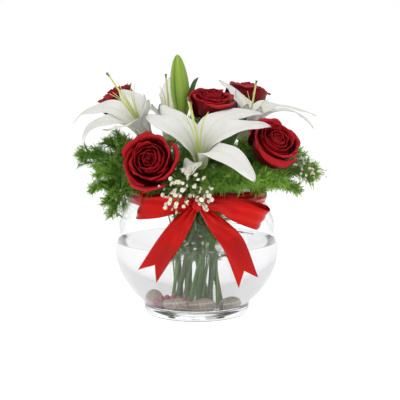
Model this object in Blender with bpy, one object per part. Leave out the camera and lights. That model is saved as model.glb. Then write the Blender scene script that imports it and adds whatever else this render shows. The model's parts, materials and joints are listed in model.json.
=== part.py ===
"""White lilies and red roses in a glass fish bowl, tied with a satin bow.

The origin is the middle of the bowl's flat underside, on the table. +Z is up, and the bow is on the -Y side.
Every size is in metres and every angle in degrees. Flowers stand on stems that meet in the bowl and fan out
above its neck. Each tepal, bloom, stem, spray, shell and length of ribbon is an object of its own.
"""

import math
from collections import namedtuple

import bpy
from mathutils import Matrix, Vector

# ---------------------------------------------------------------- bowl and water
CLEARANCE = 0.0003  # between pieces that touch
BOWL_RADIUS = 0.0990  # outside, at its widest
BOWL_HEIGHT = 0.1540  # to the top of the rim
BOWL_HALF_HEIGHT = BOWL_HEIGHT * 0.591  # of the round part, from its widest ring
BOWL_MIDDLE = BOWL_HEIGHT * 0.552  # height of the widest ring
NECK_HEIGHT = BOWL_HEIGHT * 0.922
WALL = 0.0030
BASE_THICKNESS = 0.0110
FOOT_RADIUS = BOWL_RADIUS * 0.641
FOOT_HEIGHT = BOWL_HEIGHT * 0.104
FLOOR_CURVE = 0.0050  # height of the rounding where the wall meets the floor inside
RIM_FLARE = 0.0020
FOOT_ROUNDING = 0.0075
WATER_LEVEL = BOWL_HEIGHT * 0.578
ROUND_STEPS = 32

# ---------------------------------------------------------------- ribbon
RIBBON_WIDTH = 0.0260
RIBBON_THICKNESS = 0.0010
BAND_HEIGHT = 0.0180  # the ribbon is folded a little where it goes round the neck
BAND_PUFF = 0.0045
BAND_MIDDLE = BOWL_HEIGHT - 0.0080
KNOT_SIZE = Vector((RIBBON_WIDTH * 0.50, RIBBON_WIDTH * 0.42, RIBBON_WIDTH * 0.65))
TAIL_NOTCH = 0.0110

# ---------------------------------------------------------------- flowers
BOUQUET_NECK = 0.0772  # radius of the neck that the flowers' places and sizes below are given for
TEPAL_THICKNESS = 0.0009
TEPAL_ROWS = 8
THROAT = 0.0055  # radius on which the tepals stand
SECTOR = 0.46  # half width of a tepal over its distance from the axis, so that neighbours stay clear
STAMEN_COLUMN = 0.0030
FILAMENT_RADIUS = 0.0006
STYLE_RADIUS = 0.0010
STIGMA_RADIUS = 0.0022
RECEPTACLE_DEPTH = 0.0040
LILY_STEM_RADIUS = 0.0038
LILY_BRANCH_RADIUS = 0.0026
ROSE_STEM_RADIUS = 0.0028
ROSE_HIP_RADIUS = 0.0055
FERN_STEM_RADIUS = 0.0014
BREATH_STEM_RADIUS = 0.0009
FLORET_RADIUS = 0.0026
STEM_FOOT = BASE_THICKNESS + 0.0030  # height of the cut ends
BUNDLE_WAIST = BOWL_HEIGHT * 0.487  # height at which the stems are closest
BUNDLE_TWIST = 35.0  # the stems spiral, as in a hand-tied bunch

SHELL_FLOOR = 0.0506  # radius of the floor that the shells' and beads' places below are given for
BEAD_RADIUS = 0.0031
BEAD_PITCH = 0.0066
THREAD_RADIUS = 0.0007

Tepal = namedtuple("Tepal", "length width flare curl sweep throat")
Lily = namedtuple("Lily", "name base axis turn style tepals")
Rose = namedtuple("Rose", "name base axis radius turn waist_radius waist_angle")
Frond = namedtuple("Frond", "tip rise width")
Stem = namedtuple("Stem", "name line radius sides branches")

# Places are given from the middle of the rim. flare is how far a tepal leans out from the flower's axis at
# its middle, curl how much more it turns by its tip, sweep how far it veers sideways round the axis, and
# throat the share of its length that follows the trumpet. Tepals go round from turn, 60 degrees apart.
LILIES = (
    Lily("lily_front", (0.005, -0.063, 0.034), (-0.10, -0.52, 0.85), 0, 0.086, (
        Tepal(0.116, 0.023, 72, 64, 18, 0.16),
        Tepal(0.118, 0.030, 84, 40, -24, 0.16),
        Tepal(0.104, 0.029, 86, 6, 0, 0.16),
        Tepal(0.104, 0.027, 45, 82, -36, 0.16),
        Tepal(0.045, 0.022, 62, 55, 11, 0.06),
        Tepal(0.118, 0.029, 68, 112, 24, 0.06),
    )),
    Lily("lily_left", (-0.057, -0.020, 0.059), (-0.42, -0.34, 0.84), -40, 0.086, (
        Tepal(0.062, 0.026, 26, 16, 6, 0.25),
        Tepal(0.055, 0.028, 17, 0, -3, 0.25),
        Tepal(0.079, 0.030, 55, 27, 27, 0.25),
        Tepal(0.124, 0.024, 74, 49, 11, 0.20),
        Tepal(0.119, 0.028, 70, 108, -22, 0.20),
        Tepal(0.093, 0.026, 60, 0, -13, 0.20),
    )),
    Lily("lily_back", (-0.034, 0.040, 0.053), (0.02, 0.22, 0.97), 30, 0.068, (
        Tepal(0.070, 0.026, 25, 27, 1, 0.32),
        Tepal(0.094, 0.030, 23, 26, 0, 0.32),
        Tepal(0.064, 0.028, 39, 59, -17, 0.32),
        Tepal(0.045, 0.024, 22, 20, -5, 0.32),
        Tepal(0.046, 0.024, 32, 23, -23, 0.32),
        Tepal(0.054, 0.024, 24, 21, 0, 0.32),
    )),
    Lily("lily_right", (0.055, -0.004, 0.058), (0.30, 0.02, 0.95), 0, 0.061, (
        Tepal(0.105, 0.028, 64, 66, -3, 0.25),
        Tepal(0.113, 0.025, 72, 26, -34, 0.25),
        Tepal(0.094, 0.028, 57, 28, 12, 0.25),
        Tepal(0.056, 0.024, 21, 11, 1, 0.25),
        Tepal(0.044, 0.024, 16, 12, 6, 0.25),
        Tepal(0.045, 0.024, 15, 8, -3, 0.25),
    )),
)

ROSES = (
    Rose("rose_front_left", (-0.044, -0.069, 0.029), (-0.26, -0.86, 0.44), 0.0330, 10, 0.021, -120),
    Rose("rose_right", (0.080, -0.034, 0.038), (0.36, -0.62, 0.70), 0.0320, 40, 0.021, -28),
    Rose("rose_centre", (0.016, -0.010, 0.080), (0.06, -0.26, 0.96), 0.0280, 70, 0.009, 60),
    Rose("rose_back_right", (0.056, 0.063, 0.083), (0.24, 0.20, 0.95), 0.0280, 20, 0.021, 40),
    Rose("rose_back_left", (-0.086, 0.042, 0.083), (-0.52, 0.06, 0.85), 0.0260, 50, 0.021, 160),
)

BUD_BASE = (-0.0160, 0.0160, 0.0795)
BUD_TIP = (-0.0230, 0.0160, 0.1565)
BUD_RADIUS = 0.0112


# ---------------------------------------------------------------- making meshes
def clear_scene():
    for obj in list(bpy.data.objects):
        bpy.data.objects.remove(obj, do_unlink=True)


def finish(name, colour, roughness=0.5, metallic=0.0, alpha=1.0):
    """A Principled material in one colour."""
    made = bpy.data.materials.new(name)
    made.use_nodes = True
    shader = made.node_tree.nodes["Principled BSDF"]
    shader.inputs["Base Color"].default_value = (*colour, 1.0)
    shader.inputs["Roughness"].default_value = roughness
    shader.inputs["Metallic"].default_value = metallic
    shader.inputs["Alpha"].default_value = alpha
    made.diffuse_color = (*colour, alpha)
    return made


def solid(name, shape, material, helper=False):
    """An object made of shape's corners and faces. A helper only joins or cuts another object."""
    corners, faces = shape
    mesh = bpy.data.meshes.new(name)
    mesh.from_pydata([tuple(c) for c in corners], [], faces)
    mesh.validate()
    mesh.shade_smooth()
    mesh.set_sharp_from_angle(angle=math.radians(50))
    mesh.materials.append(material)
    obj = bpy.data.objects.new(name, mesh)
    bpy.context.scene.collection.objects.link(obj)
    if helper:
        obj.hide_render = True
        obj.display_type = "WIRE"
    return obj


def combine(obj, shapes, operation):
    """Joins shapes to obj, or cuts them from it, with one Boolean over a collection of helpers."""
    group = bpy.data.collections.new(f"{obj.name}_{operation.lower()}")
    bpy.context.scene.collection.children.link(group)
    group.hide_render = True
    for number, shape in enumerate(shapes):
        piece = solid(f"{obj.name}_helper_{number}", shape, obj.data.materials[0], helper=True)
        bpy.context.scene.collection.objects.unlink(piece)
        group.objects.link(piece)
    change = obj.modifiers.new(operation.title(), "BOOLEAN")
    change.operation = operation
    change.operand_type = "COLLECTION"
    change.solver = "EXACT"
    change.collection = group


def moved(shape, matrix):
    corners, faces = shape
    return [matrix @ Vector(c) for c in corners], faces


def facing(base, axis, turn=0.0):
    """A matrix that puts local +Z along axis at base, with local +X as near to world +X as it can be."""
    up = Vector(axis).normalized()
    side = (Vector((1, 0, 0)) - up * up.x).normalized()
    turned_frame = Matrix((side, up.cross(side), up)).transposed().to_4x4()
    return Matrix.Translation(base) @ turned_frame @ Matrix.Rotation(math.radians(turn), 4, "Z")


def turned(outline, steps, radius_at=None):
    """A solid of revolution from (radius, height) points that start and end on the axis, bottom to top."""
    bottom, top = outline[0], outline[-1]
    rings = outline[1:-1]
    corners = [Vector((0, 0, bottom[1]))]
    for row, (radius, height) in enumerate(rings):
        for step in range(steps):
            angle = 2 * math.pi * step / steps
            reach = radius if radius_at is None else radius * radius_at(angle, row)
            corners.append(Vector((reach * math.cos(angle), reach * math.sin(angle), height)))
    corners.append(Vector((0, 0, top[1])))
    last = len(corners) - 1
    faces = []
    for step in range(steps):
        after = (step + 1) % steps
        faces.append((0, 1 + after, 1 + step))
        for row in range(len(rings) - 1):
            low, high = 1 + row * steps, 1 + (row + 1) * steps
            faces.append((low + step, low + after, high + after, high + step))
        crown = 1 + (len(rings) - 1) * steps
        faces.append((crown + step, crown + after, last))
    return corners, faces


def ring_solid(outline, steps):
    """A ring from a closed outline of (radius, height) points, in order outwards and up."""
    count = len(outline)
    corners = []
    for step in range(steps):
        angle = 2 * math.pi * step / steps
        corners += [Vector((r * math.cos(angle), r * math.sin(angle), z)) for r, z in outline]
    faces = []
    for step in range(steps):
        here, after = step * count, (step + 1) % steps * count
        for i in range(count):
            j = (i + 1) % count
            faces.append((here + i, after + i, after + j, here + j))
    return corners, faces


def smooth(points, per_span):
    """Points along a Catmull-Rom curve through the given points."""
    known = [Vector(p) for p in points]
    known = [known[0] * 2 - known[1], *known, known[-1] * 2 - known[-2]]
    line = []
    for a, b, c, d in zip(known, known[1:], known[2:], known[3:]):
        for step in range(per_span):
            t = step / per_span
            line.append(
                (b * 2 + (c - a) * t + (a * 2 - b * 5 + c * 4 - d) * t**2 + (b * 3 - a - c * 3 + d) * t**3) / 2
            )
    return [*line, known[-2]]


def tube(line, radii, sides):
    """A closed tube along line. radii is one number, or one for each point."""
    if not hasattr(radii, "__len__"):
        radii = [radii] * len(line)
    ahead = [(line[min(i + 1, len(line) - 1)] - line[max(i - 1, 0)]).normalized() for i in range(len(line))]
    side = ahead[0].orthogonal().normalized()
    corners = []
    for i, point in enumerate(line):
        if i:
            side = ahead[i - 1].rotation_difference(ahead[i]) @ side
        across = ahead[i].cross(side)
        for k in range(sides):
            angle = 2 * math.pi * k / sides
            corners.append(point + (side * math.cos(angle) + across * math.sin(angle)) * radii[i])
    faces = [tuple(reversed(range(sides)))]
    for i in range(len(line) - 1):
        for k in range(sides):
            j = (k + 1) % sides
            faces.append((i * sides + k, i * sides + j, (i + 1) * sides + j, (i + 1) * sides + k))
    faces.append(tuple((len(line) - 1) * sides + k for k in range(sides)))
    return corners, faces


def sheet(rows, thickness):
    """A thin closed solid about a grid of points, half the thickness to each side of it."""
    high, wide = len(rows), len(rows[0])
    front, back = [], []
    for i in range(high):
        for j in range(wide):
            along = rows[min(i + 1, high - 1)][j] - rows[max(i - 1, 0)][j]
            across = rows[i][min(j + 1, wide - 1)] - rows[i][max(j - 1, 0)]
            normal = across.cross(along).normalized() * thickness / 2
            front.append(rows[i][j] + normal)
            back.append(rows[i][j] - normal)
    shift = high * wide
    faces = []
    for i in range(high - 1):
        for j in range(wide - 1):
            a, b = i * wide + j, i * wide + j + 1
            c, d = b + wide, a + wide
            faces += [(a, b, c, d), (shift + d, shift + c, shift + b, shift + a)]
    edge = [j for j in range(wide)]
    edge += [i * wide + wide - 1 for i in range(1, high)]
    edge += [(high - 1) * wide + j for j in range(wide - 2, -1, -1)]
    edge += [i * wide for i in range(high - 2, 0, -1)]
    for here, after in zip(edge, edge[1:] + edge[:1]):
        faces.append((here, shift + here, shift + after, after))
    return front + back, faces


# ---------------------------------------------------------------- bowl
def bowl_radius(height, inset=0.0):
    """Radius of the round part at a height, on its outside or inset inwards from it."""
    share = (height - BOWL_MIDDLE) / (BOWL_HALF_HEIGHT - inset)
    return (BOWL_RADIUS - inset) * math.sqrt(max(0.0, 1 - share * share))


def spaced_heights(low, high, count):
    return [low + (high - low) * i / (count - 1) for i in range(count)]


def hollow_outline():
    """Inside of the bowl from its neck down to its floor."""
    curve = BASE_THICKNESS + FLOOR_CURVE
    sides = [(bowl_radius(z, WALL), z) for z in spaced_heights(NECK_HEIGHT, curve, 9)]
    return [*sides, (bowl_radius(curve, WALL) - FLOOR_CURVE * 1.8, BASE_THICKNESS)]


def spread():
    """Size of the bouquet: it grows with the neck that holds it."""
    return bowl_radius(NECK_HEIGHT) / BOUQUET_NECK


def placed(point):
    """A point of the bouquet, from one given from the middle of the rim."""
    return Vector(point) * spread() + Vector((0, 0, BOWL_HEIGHT))


def laid(point):
    """A point on the bowl's floor, and how much what lies there grows with it."""
    size = hollow_outline()[-1][0] / SHELL_FLOOR
    return Vector(point) * size + Vector((0, 0, BASE_THICKNESS)), size


def bowl_shape():
    neck = bowl_radius(NECK_HEIGHT)
    lip = neck + RIM_FLARE
    round_part = [(bowl_radius(z), z) for z in spaced_heights(FOOT_HEIGHT, NECK_HEIGHT, 11)]
    outline = [
        (0.0, 0.0),
        (FOOT_RADIUS - FOOT_ROUNDING, 0.0),
        (FOOT_RADIUS - FOOT_ROUNDING * 0.27, FOOT_HEIGHT * 0.22),
        (FOOT_RADIUS, FOOT_HEIGHT * 0.60),
        *round_part,
        (neck + RIM_FLARE * 0.2, NECK_HEIGHT + 0.0050),
        (lip, BOWL_HEIGHT - WALL / 2),
        (lip - WALL / 2, BOWL_HEIGHT),
        (lip - WALL, BOWL_HEIGHT - WALL / 2),
        (neck + RIM_FLARE * 0.2 - WALL, NECK_HEIGHT + 0.0050),
        *hollow_outline(),
        (0.0, BASE_THICKNESS),
    ]
    return turned(outline, ROUND_STEPS)


def water_shape():
    """Water up to its level, clear of the glass."""
    sides = []
    for (high_radius, high), (low_radius, low) in zip(hollow_outline(), hollow_outline()[1:]):
        if high > WATER_LEVEL > low:
            share = (WATER_LEVEL - low) / (high - low)
            sides.append((low_radius + (high_radius - low_radius) * share, WATER_LEVEL))
        if low < WATER_LEVEL:
            sides.append((low_radius, low))
    sides = [(radius - CLEARANCE * 1.5, z) for radius, z in sides]
    floor = (sides[-1][0], BASE_THICKNESS + CLEARANCE)
    return turned([(0.0, floor[1]), floor, *reversed(sides[:-1]), (0.0, WATER_LEVEL)], ROUND_STEPS)


# ---------------------------------------------------------------- ribbon
def band_outline():
    """Section of the ribbon round the neck: it follows the glass inside and swells a little outside."""
    low, high = BAND_MIDDLE - BAND_HEIGHT / 2, BAND_MIDDLE + BAND_HEIGHT / 2
    widest = bowl_radius(NECK_HEIGHT) + RIM_FLARE + CLEARANCE * 2
    inside = [(max(widest, bowl_radius(z) + CLEARANCE * 3), z) for z in (low, (low + BAND_MIDDLE) / 2, high)]
    outside = [
        (inside[-1][0] + BAND_PUFF * 0.7, high - 0.0020),
        (inside[-1][0] + BAND_PUFF, BAND_MIDDLE),
        (inside[0][0] + BAND_PUFF * 0.6, low + 0.0020),
    ]
    return [*reversed(inside), *reversed(outside)]


def band_front():
    """How far the band stands out at the bow."""
    return -max(radius for radius, height in band_outline())


def strip(points, widths, across, per_span):
    """Rows of three points: a ribbon along points, as wide as widths say and lying along the across vectors."""
    line = smooth(points, per_span)
    spans = len(points) - 1
    rows = []
    for i, point in enumerate(line):
        place = min(i / per_span, spans - 1e-6)
        first, share = int(place), place - int(place)
        width = widths[first] * (1 - share) + widths[first + 1] * share
        lie = Vector(across[first]).lerp(Vector(across[first + 1]), share).normalized()
        rows.append([point - lie * width / 2, point, point + lie * width / 2])
    return rows


def knot_place():
    return Vector((0.0020, band_front() - KNOT_SIZE.y / 2 - CLEARANCE * 2, BAND_MIDDLE))


def loop_shape(side):
    """One loop of the bow. It leaves the knot close to the band, turns at its end and comes back in front."""
    knot = knot_place()
    start = knot.x + side * (KNOT_SIZE.x / 2 + CLEARANCE * 2)
    drop = 0.004 if side < 0 else 0.016
    reach = 0.060 if side < 0 else 0.066
    full, pinched = RIBBON_WIDTH, RIBBON_WIDTH * 0.42
    back = knot.y + KNOT_SIZE.y * 0.20
    front = knot.y - KNOT_SIZE.y * 0.25
    points = [
        (start, back, knot.z + 0.0005),
        (start + side * reach * 0.35, back + 0.0010, knot.z - drop * 0.1),
        (start + side * reach * 0.75, back + 0.0130, knot.z - drop * 0.6),
        (start + side * reach, back + 0.0150, knot.z - drop),
        (start + side * reach * 0.98, front - 0.0020, knot.z - drop * 1.1),
        (start + side * reach * 0.62, front - 0.0100, knot.z - drop * 0.45),
        (start + side * reach * 0.28, front - 0.0060, knot.z + 0.0010),
        (start, front, knot.z + 0.0005),
    ]
    lean = 0.30 if side < 0 else -0.62
    upright, leaning = (0.0, 0.0, 1.0), (side * -lean, 0.10, 1.0)
    across = [upright, upright, leaning, leaning, leaning, leaning, upright, upright]
    widths = [pinched, full * 0.75, full, full, full, full, full * 0.72, pinched]
    return sheet(strip(points, widths, across, 2), RIBBON_THICKNESS)


def front_of_bowl(x):
    """Where a ribbon hangs that leans on the bowl's widest ring, clear of it over its whole width."""
    near = max(0.0, abs(x) - RIBBON_WIDTH / 2)
    return -math.sqrt(BOWL_RADIUS**2 - near**2) - RIBBON_THICKNESS * 1.6


def tail_shape(side):
    """One tail of the bow: it hangs in front of the bowl and ends in a swallow's tail."""
    knot = knot_place()
    start = Vector((knot.x + side * 0.0070, knot.y + 0.0020, knot.z - KNOT_SIZE.z * 0.62))
    reach, drop, bulge = (0.052, 0.074, 0.50) if side < 0 else (0.051, 0.082, 0.66)
    places = [(start.x + side * reach * share, start.z - drop * fall) for share, fall in ((bulge, 0.44), (1.0, 1.0))]
    middle, end = (Vector((x, front_of_bowl(x), z)) for x, z in places)
    points = [start, start.lerp(middle, 0.45) + Vector((0, -0.002, 0.001)), middle, end]
    fall = (end - start).normalized()
    level = fall.cross(Vector((0, -1, 0))).normalized()
    full, pinched = RIBBON_WIDTH, RIBBON_WIDTH * 0.45
    rows = strip(points, [pinched, full * 0.8, full, full], [level] * 4, 3)
    rows[-1][1] = rows[-1][1] - fall * TAIL_NOTCH
    return sheet(rows, RIBBON_THICKNESS)


# ---------------------------------------------------------------- lilies
def tepal_shape(tepal, place):
    """One tepal. At first it follows the trumpet that all six share, and from its throat it goes its own way."""
    step = tepal.length / (TEPAL_ROWS - 1)
    reach, height, rows = THROAT, 0.0, []
    for i in range(TEPAL_ROWS):
        s = i / (TEPAL_ROWS - 1)
        rise = min(1.0, s / 0.55)
        lean = 9 + 22 * rise * rise
        own = max(0.0, s - tepal.throat) / (1 - tepal.throat)
        lean += (tepal.flare - 31) * min(1.0, own * 2.2) + tepal.curl * max(0.0, own - 0.35) ** 1.5 * 1.9
        if i:
            reach += step * math.sin(math.radians(lean))
            height += step * math.cos(math.radians(lean))
        swell = math.sin(math.pi * min(1.0, s * 0.88 + 0.12)) ** 0.75
        half = max(0.0009, tepal.width / 2 * swell)
        half = min(half, reach * SECTOR)
        wrap = reach * 1.25
        veer = math.radians(place + tepal.sweep * own)
        out, side = Vector((math.cos(veer), math.sin(veer), 0)), Vector((-math.sin(veer), math.cos(veer), 0))
        row = []
        for v in (-1, 0, 1):
            angle = v * half / wrap
            row.append(
                out * (reach - wrap * (1 - math.cos(angle))) + side * wrap * math.sin(angle) + Vector((0, 0, height))
            )
        rows.append(row)
    return sheet(rows, TEPAL_THICKNESS)


def stamens_shapes(style):
    """The receptacle with its column, the style with a three-lobed tip, and six filaments without anthers."""
    knob = [(0.0, -RECEPTACLE_DEPTH), (0.0050, -RECEPTACLE_DEPTH), (0.0068, -0.0016), (0.0068, -CLEARANCE * 2),
            (STAMEN_COLUMN, -CLEARANCE * 2), (STAMEN_COLUMN * 0.9, 0.0070), (0.0, 0.0075)]
    line = smooth([(0, 0, 0), (0, 0, style * 0.5), (0.0010, -0.0020, style - 0.003), (0.0012, -0.0024, style)], 2)
    radii = [STYLE_RADIUS] * (len(line) - 2) + [STIGMA_RADIUS, STIGMA_RADIUS * 0.8]
    shapes = [tube(line, radii, 6)]
    for k in range(6):
        angle = math.radians(30 + 60 * k)
        out = Vector((math.cos(angle), math.sin(angle), 0))
        long = style * (0.80 if k % 2 else 0.70)
        line = [out * 0.0016, out * 0.0030 + Vector((0, 0, long * 0.45)), out * 0.0150 + Vector((0, 0, long))]
        shapes.append(tube(line, [FILAMENT_RADIUS, FILAMENT_RADIUS, FILAMENT_RADIUS * 0.6], 4))
    return turned(knob, 10), shapes


def lily_pieces(lily, petal, pistil):
    frame = facing(placed(lily.base), lily.axis) @ Matrix.Scale(spread(), 4)
    for k, tepal in enumerate(lily.tepals):
        shape = tepal_shape(tepal, lily.turn + 60 * k)
        solid(f"{lily.name}_tepal_{k + 1}", moved(shape, frame), petal)
    body, shapes = stamens_shapes(lily.style)
    stamens = solid(f"{lily.name}_stamens", moved(body, frame), pistil)
    combine(stamens, [moved(shape, frame) for shape in shapes], "UNION")


def branch(start, flower, length):
    """A stem from start that comes to a flower's base along its axis."""
    axis = Vector(flower.axis).normalized()
    top = placed(flower.base) - axis * (RECEPTACLE_DEPTH + CLEARANCE) * spread()
    return [*smooth([*start, top - axis * length, top - axis * 0.0040], 3), top]


def carried_on(line, length):
    """The line with its end moved on, so that branches start inside the stem."""
    return [*line[:-1], line[-1] + (line[-1] - line[-2]).normalized() * length]


def bundle(radius, angle):
    """Foot, waist and neck points of a stem in the bunch."""
    points = []
    for share, turn, height in ((1.25, -1.0, STEM_FOOT), (1.0, 0.0, BUNDLE_WAIST), (1.45, 0.6, BOWL_HEIGHT * 0.883)):
        way = math.radians(angle + turn * BUNDLE_TWIST)
        reach = radius * share * spread()
        points.append(Vector((reach * math.cos(way), reach * math.sin(way), height)))
    return points


def bud_shape():
    """A closed bud: three outer tepals meet in a blunt tip, with a groove between each two."""
    base, tip = placed(BUD_BASE), placed(BUD_TIP)
    length = (tip - base).length
    shares = ((0.0, 0.0), (0.42, 0.03), (0.78, 0.16), (0.98, 0.34), (1.0, 0.50), (0.84, 0.70), (0.52, 0.88),
              (0.22, 0.98), (0.0, 1.0))
    outline = [(BUD_RADIUS * spread() * r, length * z) for r, z in shares]
    shape = turned(outline, 12, lambda angle, row: 1 + 0.07 * math.cos(3 * angle))
    return moved(shape, facing(base, tip - base))


def leaf_shape(points, width):
    """A narrow leaf with a folded midrib."""
    line = smooth([placed(point) for point in points], 3)
    rows = []
    for i, point in enumerate(line):
        s = i / (len(line) - 1)
        half = max(0.0008, width * spread() / 2 * math.sin(math.pi * (0.10 + 0.88 * s)) ** 0.8)
        ahead = (line[min(i + 1, len(line) - 1)] - line[max(i - 1, 0)]).normalized()
        side = ahead.cross(Vector((0.25, -0.9, 0.35))).normalized()
        fold = side.cross(ahead) * half * 0.25
        rows.append([point - side * half + fold, point, point + side * half + fold])
    return sheet(rows, 0.0008)


LILY_BY_NAME = {lily.name: lily for lily in LILIES}
FRONT_LEAF = (
    (0.0280, -0.0220, 0.0060), (0.0300, -0.0400, 0.0480), (0.0480, -0.0440, 0.0760), (0.0600, -0.0400, 0.0900),
)
SIDE_LEAF = (
    (-0.0350, 0.0060, 0.0100), (-0.0640, -0.0180, 0.0310), (-0.0810, -0.0410, 0.0320), (-0.0870, -0.0540, 0.0040),
)


def left_lily_stem():
    """The stem that carries the left lily, the back lily and the bud."""
    fork = placed((-0.0350, 0.0060, 0.0100))
    trunk = carried_on(smooth([*bundle(0.009, 175), fork], 4), 0.004)
    left = branch([fork], LILY_BY_NAME["lily_left"], 0.018)
    back = branch([fork], LILY_BY_NAME["lily_back"], 0.018)
    base = placed(BUD_BASE)
    bud_axis = (placed(BUD_TIP) - base).normalized()
    bud = smooth([fork, base - bud_axis * 0.030, base - bud_axis * CLEARANCE], 3)
    shapes = [tube(line, LILY_BRANCH_RADIUS, 6) for line in (left, back, bud)]
    return Stem("lily_stem_left", trunk, LILY_STEM_RADIUS, 7, [*shapes, leaf_shape(SIDE_LEAF, 0.0110)])


def right_lily_stem():
    """The stem that carries the front lily and the right lily."""
    fork = placed((0.0280, -0.0220, 0.0060))
    trunk = carried_on(smooth([*bundle(0.009, -50), fork], 4), 0.004)
    front = branch([fork], LILY_BY_NAME["lily_front"], 0.014)
    right = branch([fork], LILY_BY_NAME["lily_right"], 0.020)
    shapes = [tube(line, LILY_BRANCH_RADIUS, 6) for line in (front, right)]
    return Stem("lily_stem_right", trunk, LILY_STEM_RADIUS, 7, [*shapes, leaf_shape(FRONT_LEAF, 0.0120)])


# ---------------------------------------------------------------- roses
ROSE_PROFILE = (
    (0.0, 0.0), (0.20, 0.0), (0.52, 0.14), (0.84, 0.46), (0.98, 0.86), (1.05, 1.10), (0.92, 1.16), (0.78, 1.02),
    (0.66, 1.24), (0.50, 1.10), (0.36, 1.32), (0.18, 1.26), (0.0, 1.30),
)


def rose_frame(rose):
    return facing(placed(rose.base), rose.axis, rose.turn) @ Matrix.Scale(spread(), 4)


def rose_shape(rose):
    """A full bloom as one solid: a cup of petals with three rings of petal edges inside."""
    def lobed(angle, row):
        return 1 + 0.045 * math.cos(5 * angle + row * 2.1) + 0.02 * math.sin(3 * angle + row)

    outline = [(rose.radius * r, rose.radius * z) for r, z in ROSE_PROFILE]
    return moved(turned(outline, 18, lobed), rose_frame(rose))


def rose_stem(rose):
    """A stem with a hip under the bloom."""
    line = branch(bundle(rose.waist_radius, rose.waist_angle), rose, 0.020)
    hip = ((0.0, -0.0075), (ROSE_STEM_RADIUS * 0.8, -0.0075), (ROSE_HIP_RADIUS, -0.0030),
           (ROSE_HIP_RADIUS, -CLEARANCE), (0.0, -CLEARANCE))
    return Stem(f"{rose.name}_stem", line, ROSE_STEM_RADIUS, 6, [moved(turned(hip, 8), rose_frame(rose))])


# ---------------------------------------------------------------- greenery
Spray = namedtuple("Spray", "name waist_radius waist_angle fan fronds")

FERNS = (
    Spray("fern_left", 0.021, 205, (-0.056, -0.016, 0.0090), (
        Frond((-0.138, -0.004, 0.0380), 0.004, 0.040),
        Frond((-0.116, -0.042, 0.0220), 0.006, 0.034),
        Frond((-0.100, -0.052, -0.0280), 0.016, 0.030),
        Frond((-0.106, -0.006, 0.0540), 0.000, 0.030),
    )),
    Spray("fern_right", 0.021, 0, (0.060, 0.012, 0.0090), (
        Frond((0.148, -0.006, 0.0140), 0.008, 0.036),
        Frond((0.126, 0.034, 0.0320), 0.004, 0.036),
    )),
    Spray("fern_front", 0.021, -80, (0.022, -0.050, 0.0090), (
        Frond((0.056, -0.106, 0.0220), 0.004, 0.034),
        Frond((0.100, -0.074, 0.0140), 0.006, 0.032),
        Frond((0.022, -0.108, 0.0140), 0.004, 0.024),
    )),
    Spray("fern_back", 0.021, 95, (0.000, 0.050, 0.0110), (
        Frond((-0.070, 0.104, 0.0320), 0.010, 0.044),
        Frond((0.000, 0.124, 0.0360), 0.010, 0.046),
        Frond((0.074, 0.100, 0.0300), 0.010, 0.044),
        Frond((0.010, 0.076, 0.0780), 0.000, 0.040),
    )),
)


def frond_shape(fan, frond):
    """A feather-shaped frond: a lens in section, widest a third of the way out, with a toothed edge."""
    start, tip, width = placed(fan), placed(frond.tip), frond.width * spread()
    line = smooth([start, start.lerp(tip, 0.5) + Vector((0, 0, frond.rise * spread())), tip], 4)
    rows = []
    for i, point in enumerate(line):
        s = i / (len(line) - 1)
        half = max(0.0012, width / 2 * math.sin(math.pi * (0.04 + 0.93 * s)) ** 0.9 * (1 if i % 2 else 0.72))
        ahead = (line[min(i + 1, len(line) - 1)] - line[max(i - 1, 0)]).normalized()
        side = ahead.cross(Vector((0, 0, 1))).normalized()
        up = side.cross(ahead) * max(0.0010, half * 0.28)
        rows.append([point - side * half, point - up, point + side * half, point + up])
    corners = [corner for row in rows for corner in row]
    faces = [(3, 2, 1, 0)]
    for i in range(len(rows) - 1):
        for k in range(4):
            j = (k + 1) % 4
            faces.append((i * 4 + k, i * 4 + j, i * 4 + 4 + j, i * 4 + 4 + k))
    faces.append(tuple((len(rows) - 1) * 4 + k for k in range(4)))
    return corners, faces


def fern_stem(spray):
    line = carried_on(smooth([*bundle(spray.waist_radius, spray.waist_angle), placed(spray.fan)], 3), 0.004)
    fronds = [frond_shape(spray.fan, frond) for frond in spray.fronds]
    return Stem(spray.name, line, FERN_STEM_RADIUS, 5, fronds)


Breath = namedtuple("Breath", "name waist_radius waist_angle hub florets")
BREATHS = (
    Breath("babys_breath_front", 0.021, -100, (-0.010, -0.092, 0.0140), (
        (-0.038, -0.116, 0.0060), (-0.030, -0.120, -0.0020), (-0.028, -0.118, 0.0100), (-0.018, -0.124, 0.0060),
        (-0.020, -0.124, 0.0220), (-0.011, -0.124, 0.0320), (-0.010, -0.126, 0.0180), (-0.004, -0.124, 0.0060),
        (-0.012, -0.116, -0.0040), (0.002, -0.122, 0.0240), (0.004, -0.122, 0.0140), (0.008, -0.120, 0.0040),
        (0.012, -0.120, 0.0100), (-0.003, -0.122, 0.0360), (0.004, -0.118, -0.0040), (-0.024, -0.124, 0.0140),
        (0.014, -0.112, -0.0020), (-0.024, -0.110, -0.0080),
    )),
    Breath("babys_breath_right", 0.021, 18, (0.100, -0.008, 0.0300), (
        (0.126, -0.044, 0.0320), (0.134, -0.036, 0.0260), (0.140, -0.044, 0.0320), (0.146, -0.034, 0.0220),
        (0.128, -0.050, 0.0200), (0.122, -0.030, 0.0420), (0.136, -0.052, 0.0120), (0.120, -0.042, 0.0140),
    )),
)


def ball(place, radius):
    """A small round flower head with eight sides."""
    outline = ((0.0, -radius), (radius * 0.85, -radius * 0.45), (radius * 0.85, radius * 0.45), (0.0, radius))
    return moved(turned(outline, 5), Matrix.Translation(place))


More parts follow.
